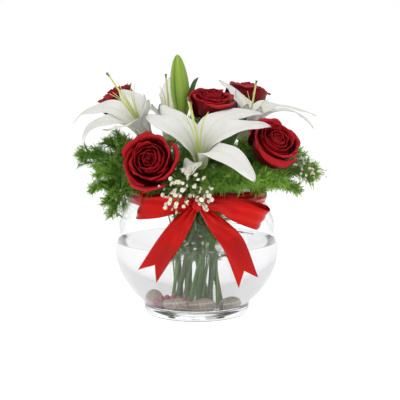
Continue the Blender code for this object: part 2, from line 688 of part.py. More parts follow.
def breath_stem(spray):
    """The main stem, and a bent stalk with a round head for each floret."""
    hub = placed(spray.hub)
    above_rim = Vector((hub.x * 0.62, hub.y * 0.62, hub.z))
    line = carried_on(smooth([*bundle(spray.waist_radius, spray.waist_angle), above_rim, hub], 3), 0.002)
    shapes = []
    for place in spray.florets:
        head = placed(place)
        elbow = hub.lerp(head, 0.5) + Vector((0, 0, 0.003))
        shapes.append(tube([hub, elbow, head], [BREATH_STEM_RADIUS * 0.8, 0.0005, 0.0004], 3))
        shapes.append(ball(head, FLORET_RADIUS))
    return Stem(spray.name, line, BREATH_STEM_RADIUS, 5, shapes)


# ---------------------------------------------------------------- shells and beads
Shell = namedtuple("Shell", "name place length width height turn tilt")
SHELLS = (
    Shell("shell_tall", (-0.0430, -0.0020), 0.027, 0.021, 0.009, 100, 66),
    Shell("shell_left", (-0.0215, -0.0350), 0.033, 0.021, 0.013, -32, 6),
    Shell("shell_middle", (0.0060, -0.0410), 0.032, 0.020, 0.013, 8, 4),
    Shell("shell_right", (0.0360, -0.0220), 0.032, 0.021, 0.013, 59, 8),
)
BEAD_ROUTE = (
    (-0.0385, -0.0315, BEAD_RADIUS), (-0.0420, -0.0270, BEAD_RADIUS), (-0.0445, -0.0225, 0.0041),
    (-0.0450, -0.0180, 0.0100), (-0.0390, -0.0165, 0.0175), (-0.0260, -0.0260, 0.0195), (-0.0120, -0.0345, 0.0180),
)


def shell_shape(shell, grow=0.0):
    """A closed clam: two domed valves that meet in a sharp rim, resting on the floor of the bowl."""
    shares = ((0.0, -0.5), (0.42, -0.42), (0.80, -0.24), (1.0, 0.0), (0.80, 0.24), (0.42, 0.42), (0.0, 0.5))
    place, size = laid((*shell.place, 0.0))
    half = Vector((shell.length / 2, shell.width / 2, shell.height)) * size + Vector((grow, grow, 2 * grow))
    tilt = Matrix.Rotation(math.radians(-shell.tilt), 4, "Y") @ Matrix.Diagonal((*half, 1.0))
    corners, faces = moved(turned(shares, 12), Matrix.Rotation(math.radians(shell.turn), 4, "Z") @ tilt)
    lift = CLEARANCE - min(corner.z for corner in corners) - grow
    return moved((corners, faces), Matrix.Translation(place + Vector((0, 0, lift))))


def bead_shape(grow=0.0):
    """Round beads on a thread, as one turned tube that follows the route."""
    size = laid((0, 0, 0))[1]
    route = smooth([laid(point)[0] for point in BEAD_ROUTE], 16)
    lengths = [0.0]
    for a, b in zip(route, route[1:]):
        lengths.append(lengths[-1] + (b - a).length)

    def at(distance):
        for i in range(len(route) - 1):
            if distance <= lengths[i + 1] or i == len(route) - 2:
                return route[i].lerp(route[i + 1], (distance - lengths[i]) / (lengths[i + 1] - lengths[i]))

    line, radii = [], []
    pitch = BEAD_PITCH * size
    for k in range(int(lengths[-1] / pitch)):
        for share, radius in ((0.04, 0.0), (0.22, 0.80), (0.5, 1.0), (0.78, 0.80), (0.96, 0.0)):
            line.append(at((k + share) * pitch))
            radii.append(max(THREAD_RADIUS, BEAD_RADIUS * radius) * size + grow)
    return tube(line, radii, 6)


# ---------------------------------------------------------------- the whole object
def main():
    clear_scene()
    glass = finish("glass", (0.92, 0.95, 0.95), 0.05, alpha=0.35)
    water = finish("water", (0.86, 0.91, 0.90), 0.05, alpha=0.35)
    satin = finish("red_satin", (0.62, 0.02, 0.02), 0.35)
    petal = finish("lily_white", (0.87, 0.87, 0.83), 0.5)
    pistil = finish("pistil_yellow", (0.72, 0.74, 0.36), 0.5)
    green = finish("stem_green", (0.16, 0.27, 0.08), 0.5)
    bud_green = finish("bud_green", (0.35, 0.50, 0.13), 0.45)
    rose_red = finish("rose_red", (0.36, 0.01, 0.02), 0.6)
    fern_green = finish("fern_green", (0.10, 0.25, 0.04), 0.6)
    breath_white = finish("breath_white", (0.86, 0.82, 0.70), 0.7)
    shell_pale = finish("shell_pale", (0.66, 0.58, 0.48), 0.5)
    bead_red = finish("bead_red", (0.25, 0.01, 0.03), 0.25)

    solid("glass_bowl", bowl_shape(), glass)
    solid("ribbon_neckband", ring_solid(band_outline(), ROUND_STEPS), satin)
    knot = [(0.0, -0.5), (0.36, -0.5), (0.5, -0.2), (0.5, 0.2), (0.36, 0.5), (0.0, 0.5)]
    squeeze = Matrix.Translation(knot_place()) @ Matrix.Diagonal((*KNOT_SIZE, 1.0))
    solid("ribbon_knot", moved(turned(knot, 8), squeeze), satin)
    for side, word in ((-1, "left"), (1, "right")):
        solid(f"ribbon_loop_{word}", loop_shape(side), satin)
        solid(f"ribbon_tail_{word}", tail_shape(side), satin)

    for lily in LILIES:
        lily_pieces(lily, petal, pistil)
    solid("lily_bud", bud_shape(), bud_green)
    for rose in ROSES:
        solid(rose.name, rose_shape(rose), rose_red)
    stems = [(left_lily_stem(), green), (right_lily_stem(), green)]
    stems += [(rose_stem(rose), green) for rose in ROSES]
    stems += [(fern_stem(spray), fern_green) for spray in FERNS]
    stems += [(breath_stem(spray), breath_white) for spray in BREATHS]
    for stem, colour in stems:
        combine(solid(stem.name, tube(stem.line, stem.radius, stem.sides), colour), stem.branches, "UNION")
    for shell in SHELLS:
        solid(shell.name, shell_shape(shell), shell_pale)
    solid("bead_strand", bead_shape(), bead_red)

    pool = solid("water", water_shape(), water)
    wet = [shell_shape(shell, CLEARANCE) for shell in SHELLS] + [bead_shape(CLEARANCE)]
    for stem, colour in stems:
        foot, above_foot = stem.line[0], stem.line[1]
        line = [foot + (foot - above_foot).normalized() * CLEARANCE, *stem.line[1:]]
        wet.append(tube(line, stem.radius + CLEARANCE, stem.sides))
    combine(pool, wet, "DIFFERENCE")


main()
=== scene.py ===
"""White lilies and red roses in a glass fish bowl, tied with a satin bow.

Laid out as an add-on and run as a script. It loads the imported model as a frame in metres, with the bow on
the -Y side and +Z up, and makes a detailed piece in the place of each of its nodes.
"""

import json
import math
import random
from collections import namedtuple

import bpy
from bpy.props import FloatProperty, FloatVectorProperty, IntProperty, PointerProperty
from mathutils import Matrix, Vector

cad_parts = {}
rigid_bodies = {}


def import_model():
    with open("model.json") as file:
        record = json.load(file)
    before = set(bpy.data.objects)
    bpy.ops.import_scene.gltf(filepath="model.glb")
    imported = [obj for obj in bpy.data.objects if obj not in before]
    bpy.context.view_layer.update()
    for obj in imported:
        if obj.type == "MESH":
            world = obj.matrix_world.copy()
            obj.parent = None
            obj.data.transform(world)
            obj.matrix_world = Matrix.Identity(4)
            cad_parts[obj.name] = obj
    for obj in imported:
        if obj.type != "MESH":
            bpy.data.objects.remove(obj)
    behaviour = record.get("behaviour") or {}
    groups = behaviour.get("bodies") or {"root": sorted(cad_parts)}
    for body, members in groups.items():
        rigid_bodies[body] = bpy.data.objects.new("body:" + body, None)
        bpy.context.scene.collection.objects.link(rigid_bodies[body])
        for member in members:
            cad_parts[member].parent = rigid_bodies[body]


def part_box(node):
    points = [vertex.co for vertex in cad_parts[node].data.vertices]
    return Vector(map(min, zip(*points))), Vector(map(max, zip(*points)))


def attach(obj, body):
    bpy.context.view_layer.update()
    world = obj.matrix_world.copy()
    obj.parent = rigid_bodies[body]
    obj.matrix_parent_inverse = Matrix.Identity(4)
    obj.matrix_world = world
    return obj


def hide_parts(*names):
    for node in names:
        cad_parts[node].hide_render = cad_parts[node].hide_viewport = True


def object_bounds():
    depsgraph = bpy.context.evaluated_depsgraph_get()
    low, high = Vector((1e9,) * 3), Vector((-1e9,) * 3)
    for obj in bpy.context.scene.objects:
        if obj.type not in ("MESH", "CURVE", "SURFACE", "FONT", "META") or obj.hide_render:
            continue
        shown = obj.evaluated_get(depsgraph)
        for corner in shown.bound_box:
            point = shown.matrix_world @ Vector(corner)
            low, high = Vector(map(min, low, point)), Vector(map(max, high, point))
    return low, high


bl_info = {
    "name": "Lilies and roses in a fish bowl",
    "version": (1, 0, 0),
    "blender": (4, 5, 0),
    "location": "3D View > Sidebar > Bouquet",
    "description": "Makes a bouquet of lilies and roses in a round glass bowl",
    "category": "Add Mesh",
}

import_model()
CAD_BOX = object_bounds()
BOWL_LOW, BOWL_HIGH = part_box("glass_bowl")
RIM = BOWL_HIGH.z
BOWL_RADIUS = BOWL_HIGH.x
BOWL_MIDDLE = RIM * 0.552
BOWL_HALF_HEIGHT = RIM * 0.591
NECK = RIM * 0.922
FOOT_RADIUS = BOWL_RADIUS * 0.641
FOOT_HEIGHT = RIM * 0.104
WATER_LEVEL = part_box("water")[1].z
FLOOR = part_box("water")[0].z  # the bowl's floor inside

UP = Vector((0, 0, 1))

Tepal = namedtuple("Tepal", "length width flare curl sweep throat")
Lily = namedtuple("Lily", "name base axis turn style tepals")
Rose = namedtuple("Rose", "name base axis radius turn waist_radius waist_angle")
Frond = namedtuple("Frond", "tip rise width")
Spray = namedtuple("Spray", "name waist_radius waist_angle fan fronds")
Breath = namedtuple("Breath", "name waist_radius waist_angle hub florets")
Shell = namedtuple("Shell", "name place length width height turn tilt")

# Places are given from the middle of the rim. flare is how far a tepal leans out at its middle, curl how much
# more it turns by its tip, sweep how far it veers sideways, and throat the share of its length that follows
# the trumpet. Tepals go round from turn, 60 degrees apart.
LILIES = (
    Lily("lily_front", (0.005, -0.063, 0.034), (-0.10, -0.52, 0.85), 0, 0.086, (
        Tepal(0.116, 0.023, 72, 64, 18, 0.16),
        Tepal(0.118, 0.030, 84, 40, -24, 0.16),
        Tepal(0.104, 0.029, 86, 6, 0, 0.16),
        Tepal(0.104, 0.027, 45, 82, -36, 0.16),
        Tepal(0.045, 0.022, 62, 55, 11, 0.06),
        Tepal(0.118, 0.029, 68, 112, 24, 0.06),
    )),
    Lily("lily_left", (-0.057, -0.020, 0.059), (-0.42, -0.34, 0.84), -40, 0.086, (
        Tepal(0.062, 0.026, 26, 16, 6, 0.25),
        Tepal(0.055, 0.028, 17, 0, -3, 0.25),
        Tepal(0.079, 0.030, 55, 27, 27, 0.25),
        Tepal(0.124, 0.024, 74, 49, 11, 0.20),
        Tepal(0.119, 0.028, 70, 108, -22, 0.20),
        Tepal(0.093, 0.026, 60, 0, -13, 0.20),
    )),
    Lily("lily_back", (-0.034, 0.040, 0.053), (0.02, 0.22, 0.97), 30, 0.068, (
        Tepal(0.070, 0.026, 25, 27, 1, 0.32),
        Tepal(0.094, 0.030, 23, 26, 0, 0.32),
        Tepal(0.064, 0.028, 39, 59, -17, 0.32),
        Tepal(0.045, 0.024, 22, 20, -5, 0.32),
        Tepal(0.046, 0.024, 32, 23, -23, 0.32),
        Tepal(0.054, 0.024, 24, 21, 0, 0.32),
    )),
    Lily("lily_right", (0.055, -0.004, 0.058), (0.30, 0.02, 0.95), 0, 0.061, (
        Tepal(0.105, 0.028, 64, 66, -3, 0.25),
        Tepal(0.113, 0.025, 72, 26, -34, 0.25),
        Tepal(0.094, 0.028, 57, 28, 12, 0.25),
        Tepal(0.056, 0.024, 21, 11, 1, 0.25),
        Tepal(0.044, 0.024, 16, 12, 6, 0.25),
        Tepal(0.045, 0.024, 15, 8, -3, 0.25),
    )),
)

ROSES = (
    Rose("rose_front_left", (-0.044, -0.069, 0.029), (-0.26, -0.86, 0.44), 0.0330, 10, 0.021, -120),
    Rose("rose_right", (0.080, -0.034, 0.038), (0.36, -0.62, 0.70), 0.0320, 40, 0.021, -28),
    Rose("rose_centre", (0.016, -0.010, 0.080), (0.06, -0.26, 0.96), 0.0280, 70, 0.009, 60),
    Rose("rose_back_right", (0.056, 0.063, 0.083), (0.24, 0.20, 0.95), 0.0280, 20, 0.021, 40),
    Rose("rose_back_left", (-0.086, 0.042, 0.083), (-0.52, 0.06, 0.85), 0.0260, 50, 0.021, 160),
)

BUD_BASE = (-0.0160, 0.0160, 0.0795)
BUD_TIP = (-0.0230, 0.0160, 0.1565)
BUD_RADIUS = 0.0112

FERNS = (
    Spray("fern_left", 0.021, 205, (-0.056, -0.016, 0.0090), (
        Frond((-0.138, -0.004, 0.0380), 0.004, 0.040),
        Frond((-0.116, -0.042, 0.0220), 0.006, 0.034),
        Frond((-0.100, -0.052, -0.0280), 0.016, 0.030),
        Frond((-0.106, -0.006, 0.0540), 0.000, 0.030),
        Frond((-0.122, -0.030, -0.0020), 0.010, 0.032),
        Frond((-0.092, -0.020, 0.0660), -0.004, 0.026),
        Frond((-0.108, -0.044, -0.0150), 0.014, 0.026),
    )),
    Spray("fern_right", 0.021, 0, (0.060, 0.012, 0.0090), (
        Frond((0.148, -0.006, 0.0140), 0.008, 0.036),
        Frond((0.126, 0.034, 0.0320), 0.004, 0.036),
        Frond((0.118, -0.030, -0.0020), 0.010, 0.032),
        Frond((0.070, -0.030, 0.0560), 0.000, 0.026),
    )),
    Spray("fern_front", 0.021, -80, (0.022, -0.050, 0.0090), (
        Frond((0.056, -0.106, 0.0220), 0.004, 0.034),
        Frond((0.100, -0.074, 0.0140), 0.006, 0.032),
        Frond((0.022, -0.108, 0.0140), 0.004, 0.024),
    )),
    Spray("fern_back", 0.021, 95, (0.000, 0.050, 0.0110), (
        Frond((-0.070, 0.104, 0.0320), 0.010, 0.044),
        Frond((0.000, 0.124, 0.0360), 0.010, 0.046),
        Frond((0.074, 0.100, 0.0300), 0.010, 0.044),
        Frond((0.010, 0.076, 0.0780), 0.000, 0.040),
    )),
)

BREATHS = (
    Breath("babys_breath_front", 0.021, -100, (-0.010, -0.092, 0.0140), (
        (-0.038, -0.116, 0.0060), (-0.030, -0.120, -0.0020), (-0.028, -0.118, 0.0100),
        (-0.018, -0.124, 0.0060),
        (-0.020, -0.124, 0.0220), (-0.011, -0.124, 0.0320), (-0.010, -0.126, 0.0180),
        (-0.004, -0.124, 0.0060),
        (-0.012, -0.116, -0.0040), (0.002, -0.122, 0.0240), (0.004, -0.122, 0.0140), (0.008, -0.120, 0.0040),
        (0.012, -0.120, 0.0100), (-0.003, -0.122, 0.0360), (0.004, -0.118, -0.0040), (-0.024, -0.124, 0.0140),
        (0.014, -0.112, -0.0020), (-0.024, -0.110, -0.0080),
    )),
    Breath("babys_breath_right", 0.021, 18, (0.100, -0.008, 0.0300), (
        (0.126, -0.044, 0.0320), (0.134, -0.036, 0.0260), (0.140, -0.044, 0.0320), (0.146, -0.034, 0.0220),
        (0.128, -0.050, 0.0200), (0.122, -0.030, 0.0420), (0.136, -0.052, 0.0120), (0.120, -0.042, 0.0140),
    )),
)

SHELLS = (
    Shell("shell_tall", (-0.0430, -0.0020), 0.027, 0.021, 0.009, 100, 66),
    Shell("shell_left", (-0.0215, -0.0350), 0.033, 0.021, 0.013, -32, 6),
    Shell("shell_middle", (0.0060, -0.0410), 0.032, 0.020, 0.013, 8, 4),
    Shell("shell_right", (0.0360, -0.0220), 0.032, 0.021, 0.013, 59, 8),
)


# ---------------------------------------------------------------- node trees written as expressions
class Value:
    """One output of a node. Arithmetic on it adds Math nodes."""

    def __init__(self, graph, socket):
        self.graph, self.socket = graph, socket

    def output(self, name):
        return Value(self.graph, self.socket.node.outputs[name])

    def math(self, operation, *numbers):
        return self.graph.node("ShaderNodeMath", {"operation": operation}, dict(enumerate((self, *numbers))))

    def __add__(self, other):
        return self.math("ADD", other)

    def __mul__(self, other):
        return self.math("MULTIPLY", other)

    def __sub__(self, other):
        return self.math("SUBTRACT", other)

    def __rsub__(self, other):
        return self.graph.node("ShaderNodeMath", {"operation": "SUBTRACT"}, {0: other, 1: self})

    __radd__, __rmul__ = __add__, __mul__

    def between(self, low, high):
        """0 below low and 1 above high, with a soft change between."""
        return self.graph.node(
            "ShaderNodeMapRange", {"interpolation_type": "SMOOTHSTEP", "clamp": True},
            {"Value": self, "From Min": low, "From Max": high},
        )


class Graph:
    """The nodes of a material or a geometry tree."""

    def __init__(self, tree):
        self.tree = tree

    def node(self, kind, settings=None, sockets=None, output=0):
        """Adds a node: its settings first, then a value or a link for each socket."""
        made = self.tree.nodes.new(kind)
        for name, value in (settings or {}).items():
            setattr(made, name, value)
        for name, value in (sockets or {}).items():
            self.put(made.inputs[name], value)
        return Value(self, made.outputs[output])

    def put(self, socket, value):
        if isinstance(value, Value):
            self.tree.links.new(value.socket, socket)
        else:
            socket.default_value = value

    def mix(self, factor, low, high):
        """A colour between two colours."""
        sockets = {0: factor}
        for number, colour in ((6, low), (7, high)):
            sockets[number] = colour if isinstance(colour, Value) else (*colour[:3], 1.0)
        return self.node("ShaderNodeMix", {"data_type": "RGBA", "clamp_factor": True}, sockets, 2)

    def noise(self, scale, detail=3.0, stretch=None, place=None):
        """Noise in the object's own space, from 0 to 1."""
        if place is None:
            place = self.node("ShaderNodeTexCoord", output="Object")
        if stretch:
            place = self.node("ShaderNodeMapping", None, {"Vector": place, "Scale": stretch})
        return self.node("ShaderNodeTexNoise", None, {"Vector": place, "Scale": scale, "Detail": detail})

    def bump(self, height, distance, strength=1.0):
        sockets = {"Height": height, "Distance": distance, "Strength": strength}
        return self.node("ShaderNodeBump", None, sockets)

    def surface(self):
        """Place on the piece's own surface: across and along."""
        where = self.node("ShaderNodeUVMap", {"uv_map": "place"})
        split = self.node("ShaderNodeSeparateXYZ", None, {0: where})
        return where, split.output("X"), split.output("Y")

    def tone(self):
        return self.node("ShaderNodeAttribute", {"attribute_name": "tone"}, output="Fac")


class Finish(Graph):
    """A material with one Principled shader. uniform holds what is the same all over."""

    def __init__(self, name, uniform):
        self.material = bpy.data.materials.new(name)
        self.material.use_nodes = True
        super().__init__(self.material.node_tree)
        self.shader = self.tree.nodes["Principled BSDF"]
        for socket, value in uniform.items():
            self.shader.inputs[socket].default_value = value

    def feed(self, **links):
        for name, value in links.items():
            self.put(self.shader.inputs[name.replace("_", " ").title()], value)
        return self.material

    def pass_light(self):
        """Lets light through to what stands behind, as thin clear glass does."""
        path = self.node("ShaderNodeLightPath", output="Is Shadow Ray")
        clear = self.node("ShaderNodeBsdfTransparent")
        both = self.node("ShaderNodeMixShader", None, {0: path, 2: clear})
        self.tree.links.new(self.shader.outputs[0], both.socket.node.inputs[1])
        self.put(self.tree.nodes["Material Output"].inputs["Surface"], both)


# ---------------------------------------------------------------- making meshes
SHARP = 52  # degrees between faces from which an edge is drawn sharp


class Shape:
    """Corners and faces, with each corner's place on the surface and a tone that finishes read."""

    def __init__(self):
        self.corners, self.faces, self.places, self.tones = [], [], [], []

    def add(self, corners, faces, places=None, tones=0.5):
        shift = len(self.corners)
        self.corners += [Vector(c) for c in corners]
        self.faces += [tuple(i + shift for i in face) for face in faces]
        self.places += places or [(0.5, 0.5)] * len(corners)
        self.tones += tones if isinstance(tones, list) else [tones] * len(corners)
        return self

    def join(self, other):
        return self.add(other.corners, other.faces, other.places, other.tones)

    def moved(self, matrix):
        self.corners = [matrix @ c for c in self.corners]
        return self

    def slab(self, rows, thickness, places=None, tones=(0.5, 0.5)):
        """A thin closed solid about a grid of points. The margins are half as thick."""
        high, wide = len(rows), len(rows[0])
        front, back, where = [], [], []
        for i in range(high):
            for j in range(wide):
                along = rows[min(i + 1, high - 1)][j] - rows[max(i - 1, 0)][j]
                across = rows[i][min(j + 1, wide - 1)] - rows[i][max(j - 1, 0)]
                edge = 0.5 if i in (0, high - 1) or j in (0, wide - 1) else 1.0
                normal = across.cross(along).normalized() * thickness / 2 * edge
                front.append(rows[i][j] + normal)
                back.append(rows[i][j] - normal)
                where.append(places[i][j] if places else (j / (wide - 1), i / (high - 1)))
        shift = high * wide
        faces = []
        for i in range(high - 1):
            for j in range(wide - 1):
                a = i * wide + j
                b, c, d = a + 1, a + 1 + wide, a + wide
                faces += [(a, b, c, d), (shift + d, shift + c, shift + b, shift + a)]
        edge = list(range(wide)) + [i * wide + wide - 1 for i in range(1, high)]
        edge += [(high - 1) * wide + j for j in range(wide - 2, -1, -1)]
        edge += [i * wide for i in range(high - 2, 0, -1)]
        for here, after in zip(edge, edge[1:] + edge[:1]):
            faces.append((here, shift + here, shift + after, after))
        shades = []
        for side, corners in zip(tones, (front, back)):
            shades += side if isinstance(side, list) else [side] * len(corners)
        return self.add(front + back, faces, where + where, shades)

    def tube(self, line, radii, sides=10, tone=0.5):
        """A closed tube along line. radii is one number, or one for each point."""
        if not hasattr(radii, "__len__"):
            radii = [radii] * len(line)
        last = len(line) - 1
        ahead = [(line[min(i + 1, last)] - line[max(i - 1, 0)]).normalized() for i in range(len(line))]
        side = ahead[0].orthogonal().normalized()
        corners, places, gone = [], [], 0.0
        for i, point in enumerate(line):
            if i:
                side = ahead[i - 1].rotation_difference(ahead[i]) @ side
                gone += (point - line[i - 1]).length
            up = ahead[i].cross(side)
            for k in range(sides):
                angle = 2 * math.pi * k / sides
                corners.append(point + (side * math.cos(angle) + up * math.sin(angle)) * radii[i])
                places.append((k / sides, gone))
        faces = [tuple(reversed(range(sides))), tuple(last * sides + k for k in range(sides))]
        for i in range(last):
            for k in range(sides):
                j = (k + 1) % sides
                faces.append((i * sides + k, i * sides + j, (i + 1) * sides + j, (i + 1) * sides + k))
        return self.add(corners, faces, places, tone)

    def turned(self, outline, steps, radius_at=None, tone_at=None):
        """A solid of revolution from (radius, height) points, bottom to top, from axis to axis."""
        rings = outline[1:-1]
        corners, places, tones = [UP * outline[0][1]], [(0.5, 0.0)], [0.5]
        for row, (radius, height) in enumerate(rings):
            share = (row + 1) / (len(rings) + 1)
            for step in range(steps):
                angle = 2 * math.pi * step / steps
                reach = radius * (radius_at(angle, share) if radius_at else 1.0)
                corners.append(Vector((reach * math.cos(angle), reach * math.sin(angle), height)))
                places.append((0.5, share))
                tones.append(tone_at(angle, share) if tone_at else 0.5)
        corners.append(UP * outline[-1][1])
        faces = []
        crown = 1 + (len(rings) - 1) * steps
        for step in range(steps):
            after = (step + 1) % steps
            faces.append((0, 1 + after, 1 + step))
            for row in range(len(rings) - 1):
                low = 1 + row * steps
                faces.append((low + step, low + after, low + steps + after, low + steps + step))
            faces.append((crown + step, crown + after, len(corners) - 1))
        return self.add(corners, faces, [*places, (0.5, 1.0)], [*tones, 0.5])

    def build(self, name, material):
        """A smooth object at the origin that wears the material."""
        mesh = bpy.data.meshes.new(name)
        mesh.from_pydata([tuple(c) for c in self.corners], [], self.faces)
        mesh.shade_smooth()
        mesh.set_sharp_from_angle(angle=math.radians(SHARP))
        layer = mesh.uv_layers.new(name="place")
        for loop in mesh.loops:
            layer.data[loop.index].uv = self.places[loop.vertex_index]
        mesh.attributes.new("tone", "FLOAT", "POINT").data.foreach_set("value", self.tones)
        mesh.materials.append(material)
        return linked(bpy.data.objects.new(name, mesh))


def linked(obj):
    bpy.context.scene.collection.objects.link(obj)
    return obj


def settle(obj, slot, *nodes):
    """The piece stands for the nodes, which it hides, and hangs from the root body. The slot is not used."""
    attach(obj, "root")
    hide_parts(*nodes)
    return obj


def spline(a, b, c, d, t):
    """The point at t of a Catmull-Rom span from b to c."""
    square = (a * 2 - b * 5 + c * 4 - d) * t**2
    return (b * 2 + (c - a) * t + square + (b * 3 - a - c * 3 + d) * t**3) / 2


def smooth(points, per_span):
    """Points along a Catmull-Rom curve through the given points."""
    known = [Vector(p) for p in points]
    known = [known[0] * 2 - known[1], *known, known[-1] * 2 - known[-2]]
    line = []
    for a, b, c, d in zip(known, known[1:], known[2:], known[3:]):
        for step in range(per_span):
            line.append(spline(a, b, c, d, step / per_span))
    return [*line, known[-2]]


def along(points, share):
    """The point a share of the way along a smooth curve through the points."""
    place = min(max(share, 0.0), 1.0) * (len(points) - 1)
    span = min(int(place), len(points) - 2)
    t = place - span
    a, b = Vector(points[max(span - 1, 0)]), Vector(points[span])
    c, d = Vector(points[span + 1]), Vector(points[min(span + 2, len(points) - 1)])
    if span == 0:
        a = b * 2 - c
    if span == len(points) - 2:
        d = c * 2 - b
    return spline(a, b, c, d, t)


def round_upright(angle):
    """The outward and the sideways direction at an angle round +Z."""
    return Vector((math.cos(angle), math.sin(angle), 0)), Vector((-math.sin(angle), math.cos(angle), 0))


def soft_step(low, high, x):
    t = min(max((x - low) / (high - low), 0.0), 1.0)
    return t * t * (3 - 2 * t)


def facing(base, axis, turn=0.0):
    """A matrix with local +Z along axis at base, and local +X as near to world +X as it can be."""
    up = Vector(axis).normalized()
    side = (Vector((1, 0, 0)) - up * up.x).normalized()
    frame_of = Matrix((side, up.cross(side), up)).transposed().to_4x4()
    return Matrix.Translation(base) @ frame_of @ Matrix.Rotation(math.radians(turn), 4, "Z")


def placed(point):
    """A point of the bouquet, from one given from the middle of the rim."""
    return Vector(point) + UP * RIM


# ---------------------------------------------------------------- geometry trees
def new_tree(name, inputs):
    """A geometry tree with a mesh input and named sizes, and its graph and input node."""
    tree = bpy.data.node_groups.new(name, "GeometryNodeTree")
    tree.interface.new_socket("Geometry", in_out="INPUT", socket_type="NodeSocketGeometry")
    for word, kind in inputs:
        tree.interface.new_socket(word, in_out="INPUT", socket_type="NodeSocket" + kind)
    tree.interface.new_socket("Geometry", in_out="OUTPUT", socket_type="NodeSocketGeometry")
    graph = Graph(tree)
    return graph, graph.node("NodeGroupInput")


def close_tree(graph, parts, material):
    """Joins the parts, makes their instances real and gives them the material."""
    joined = graph.node("GeometryNodeJoinGeometry")
    for part in parts:
        graph.tree.links.new(part.socket, joined.socket.node.inputs[0])
    real = graph.node("GeometryNodeRealizeInstances", None, {"Geometry": joined})
    smooth_faces = graph.node("GeometryNodeSetShadeSmooth", None, {0: real})
    worn = graph.node("GeometryNodeSetMaterial", None, {"Geometry": smooth_faces, "Material": material})
    end = graph.tree.nodes.new("NodeGroupOutput")
    graph.put(end.inputs[0], worn)
    return graph.tree


def wired(graph, start, radius, sides):
    """The input's polylines as curves, and round rods along them."""
    curves = graph.node("GeometryNodeMeshToCurve", None, {"Mesh": start.output("Geometry")})
    ring = graph.node(
        "GeometryNodeCurvePrimitiveCircle", None, {"Resolution": sides, "Radius": start.output(radius)})
    rods = graph.node(
        "GeometryNodeCurveToMesh", None, {"Curve": curves, "Profile Curve": ring, "Fill Caps": True})
    return curves, rods


def toned(graph, geometry, domain, value):
    """The geometry with a tone that its finish reads."""
    return graph.node("GeometryNodeStoreNamedAttribute", {"data_type": "FLOAT", "domain": domain}, {
        "Geometry": geometry, "Name": "tone", "Value": value})


def dice(graph, start):
    """A function that gives a random value between two numbers for each instance."""
    seed = start.output("Seed")

    def chance(low, high, shift):
        return graph.node(
            "FunctionNodeRandomValue", {"data_type": "FLOAT"}, {2: low, 3: high, 8: seed + shift}, 1)

    return chance


def grown(name, lines, tree, sizes):
    """The mesh that a geometry tree makes from polylines, as a plain object."""
    mesh = bpy.data.meshes.new(name)
    corners, edges = [], []
    for line in lines:
        edges += [(len(corners) + i, len(corners) + i + 1) for i in range(len(line) - 1)]
        corners += [tuple(p) for p in line]
    mesh.from_pydata(corners, edges, [])
    obj = linked(bpy.data.objects.new(name, mesh))
    change = obj.modifiers.new("grow", "NODES")
    change.node_group = tree
    for item in tree.interface.items_tree:
        if item.in_out == "INPUT" and item.name in sizes:
            change[item.identifier] = sizes[item.name]
    obj.update_tag()
    made = bpy.data.meshes.new_from_object(obj.evaluated_get(bpy.context.evaluated_depsgraph_get()))
    obj.modifiers.remove(change)
    obj.data = made
    made.name = name
    return obj


def merged(name, objects):
    """One object from several, which keeps their attributes and materials."""
    for obj in bpy.context.scene.objects:
        obj.select_set(obj in objects)
    bpy.context.view_layer.objects.active = objects[0]
    bpy.ops.object.join()
    objects[0].name = objects[0].data.name = name
    return objects[0]


# ---------------------------------------------------------------- settings
def size(name, text, default, **more):
    return FloatProperty(name=name, description=text, default=default, unit="LENGTH", **more)


def colour_of(name, text, default):
    return FloatVectorProperty(name=name, description="Colour of " + text, subtype="COLOR", default=default)


class BowlSettings(bpy.types.PropertyGroup):
    wall: size("Wall", "Thickness of the glass", 0.0030, min=0.001)
    flare: size("Flare", "How far the lip turns out", 0.0020)
    steps: IntProperty(name="Steps", description="Sides of the round glass", default=112, min=24)
    tint: colour_of("Tint", "the glass", (0.962, 0.963, 0.965))
    # Partly the glass's own tint, seen through more of it; mostly painted shade: the grey outline the wall
    # gets from darker things it reflects and bends.
    edge: colour_of("Edge", "the glass seen along its wall", (0.50, 0.52, 0.52))
    # Painted shade: a grey tint that dims all that is seen through the water.
    water: colour_of("Water", "the water", (0.770, 0.760, 0.770))


class RibbonSettings(bpy.types.PropertyGroup):
    width: size("Width", "Width of the ribbon", 0.0260)
    thickness: size("Thickness", "Thickness of the satin", 0.0005)
    notch: size("Notch", "Depth of the cut in each tail", 0.0110)
    colour: colour_of("Colour", "the satin", (0.570, 0.003, 0.003))
    # Used for the satin's darker margins and for its broad patches of painted shade.
    margin_and_painted_shade: colour_of("Shade", "the satin's edges", (0.230, 0.002, 0.004))


class LilySettings(bpy.types.PropertyGroup):
    thickness: size("Thickness", "Thickness of a tepal", 0.0007)
    wave: size("Wave", "Height of the margin's waves", 0.0016)
    groove: size("Groove", "Depth of the midrib's groove", 0.0010)
    white: colour_of("White", "the tepals", (0.800, 0.792, 0.755))
    throat: colour_of("Throat", "the throat and ribs", (0.530, 0.640, 0.240))
    pistil: colour_of("Pistil", "style and filaments", (0.640, 0.680, 0.240))


class RoseSettings(bpy.types.PropertyGroup):
    petals: IntProperty(name="Petals", description="Petals of one bloom", default=21, min=8)
    thickness: size("Thickness", "Thickness of a petal", 0.0005)
    bright: colour_of("Bright", "a petal's face", (0.440, 0.010, 0.016))
    # Also the painted shade deep in the bloom and on the petals' outer sides; the dark margins are the rose's
    # own.
    deep: colour_of("Deep", "its folds and margins", (0.075, 0.001, 0.004))


class GreenSettings(bpy.types.PropertyGroup):
    needle: size("Needle", "Length of a fern's needle", 0.0104)
    spacing: size("Spacing", "Distance between needles", 0.00060, precision=5)
    twigs: size("Twigs", "Distance between twigs", 0.0024)
    light: colour_of("Light", "young needles", (0.360, 0.620, 0.090))
    dark: colour_of("Dark", "old needles", (0.045, 0.160, 0.018))
    head: size("Head", "Radius of a small white flower", 0.0030)
    seed: IntProperty(name="Seed", description="Changes how twigs and florets fall", default=4)


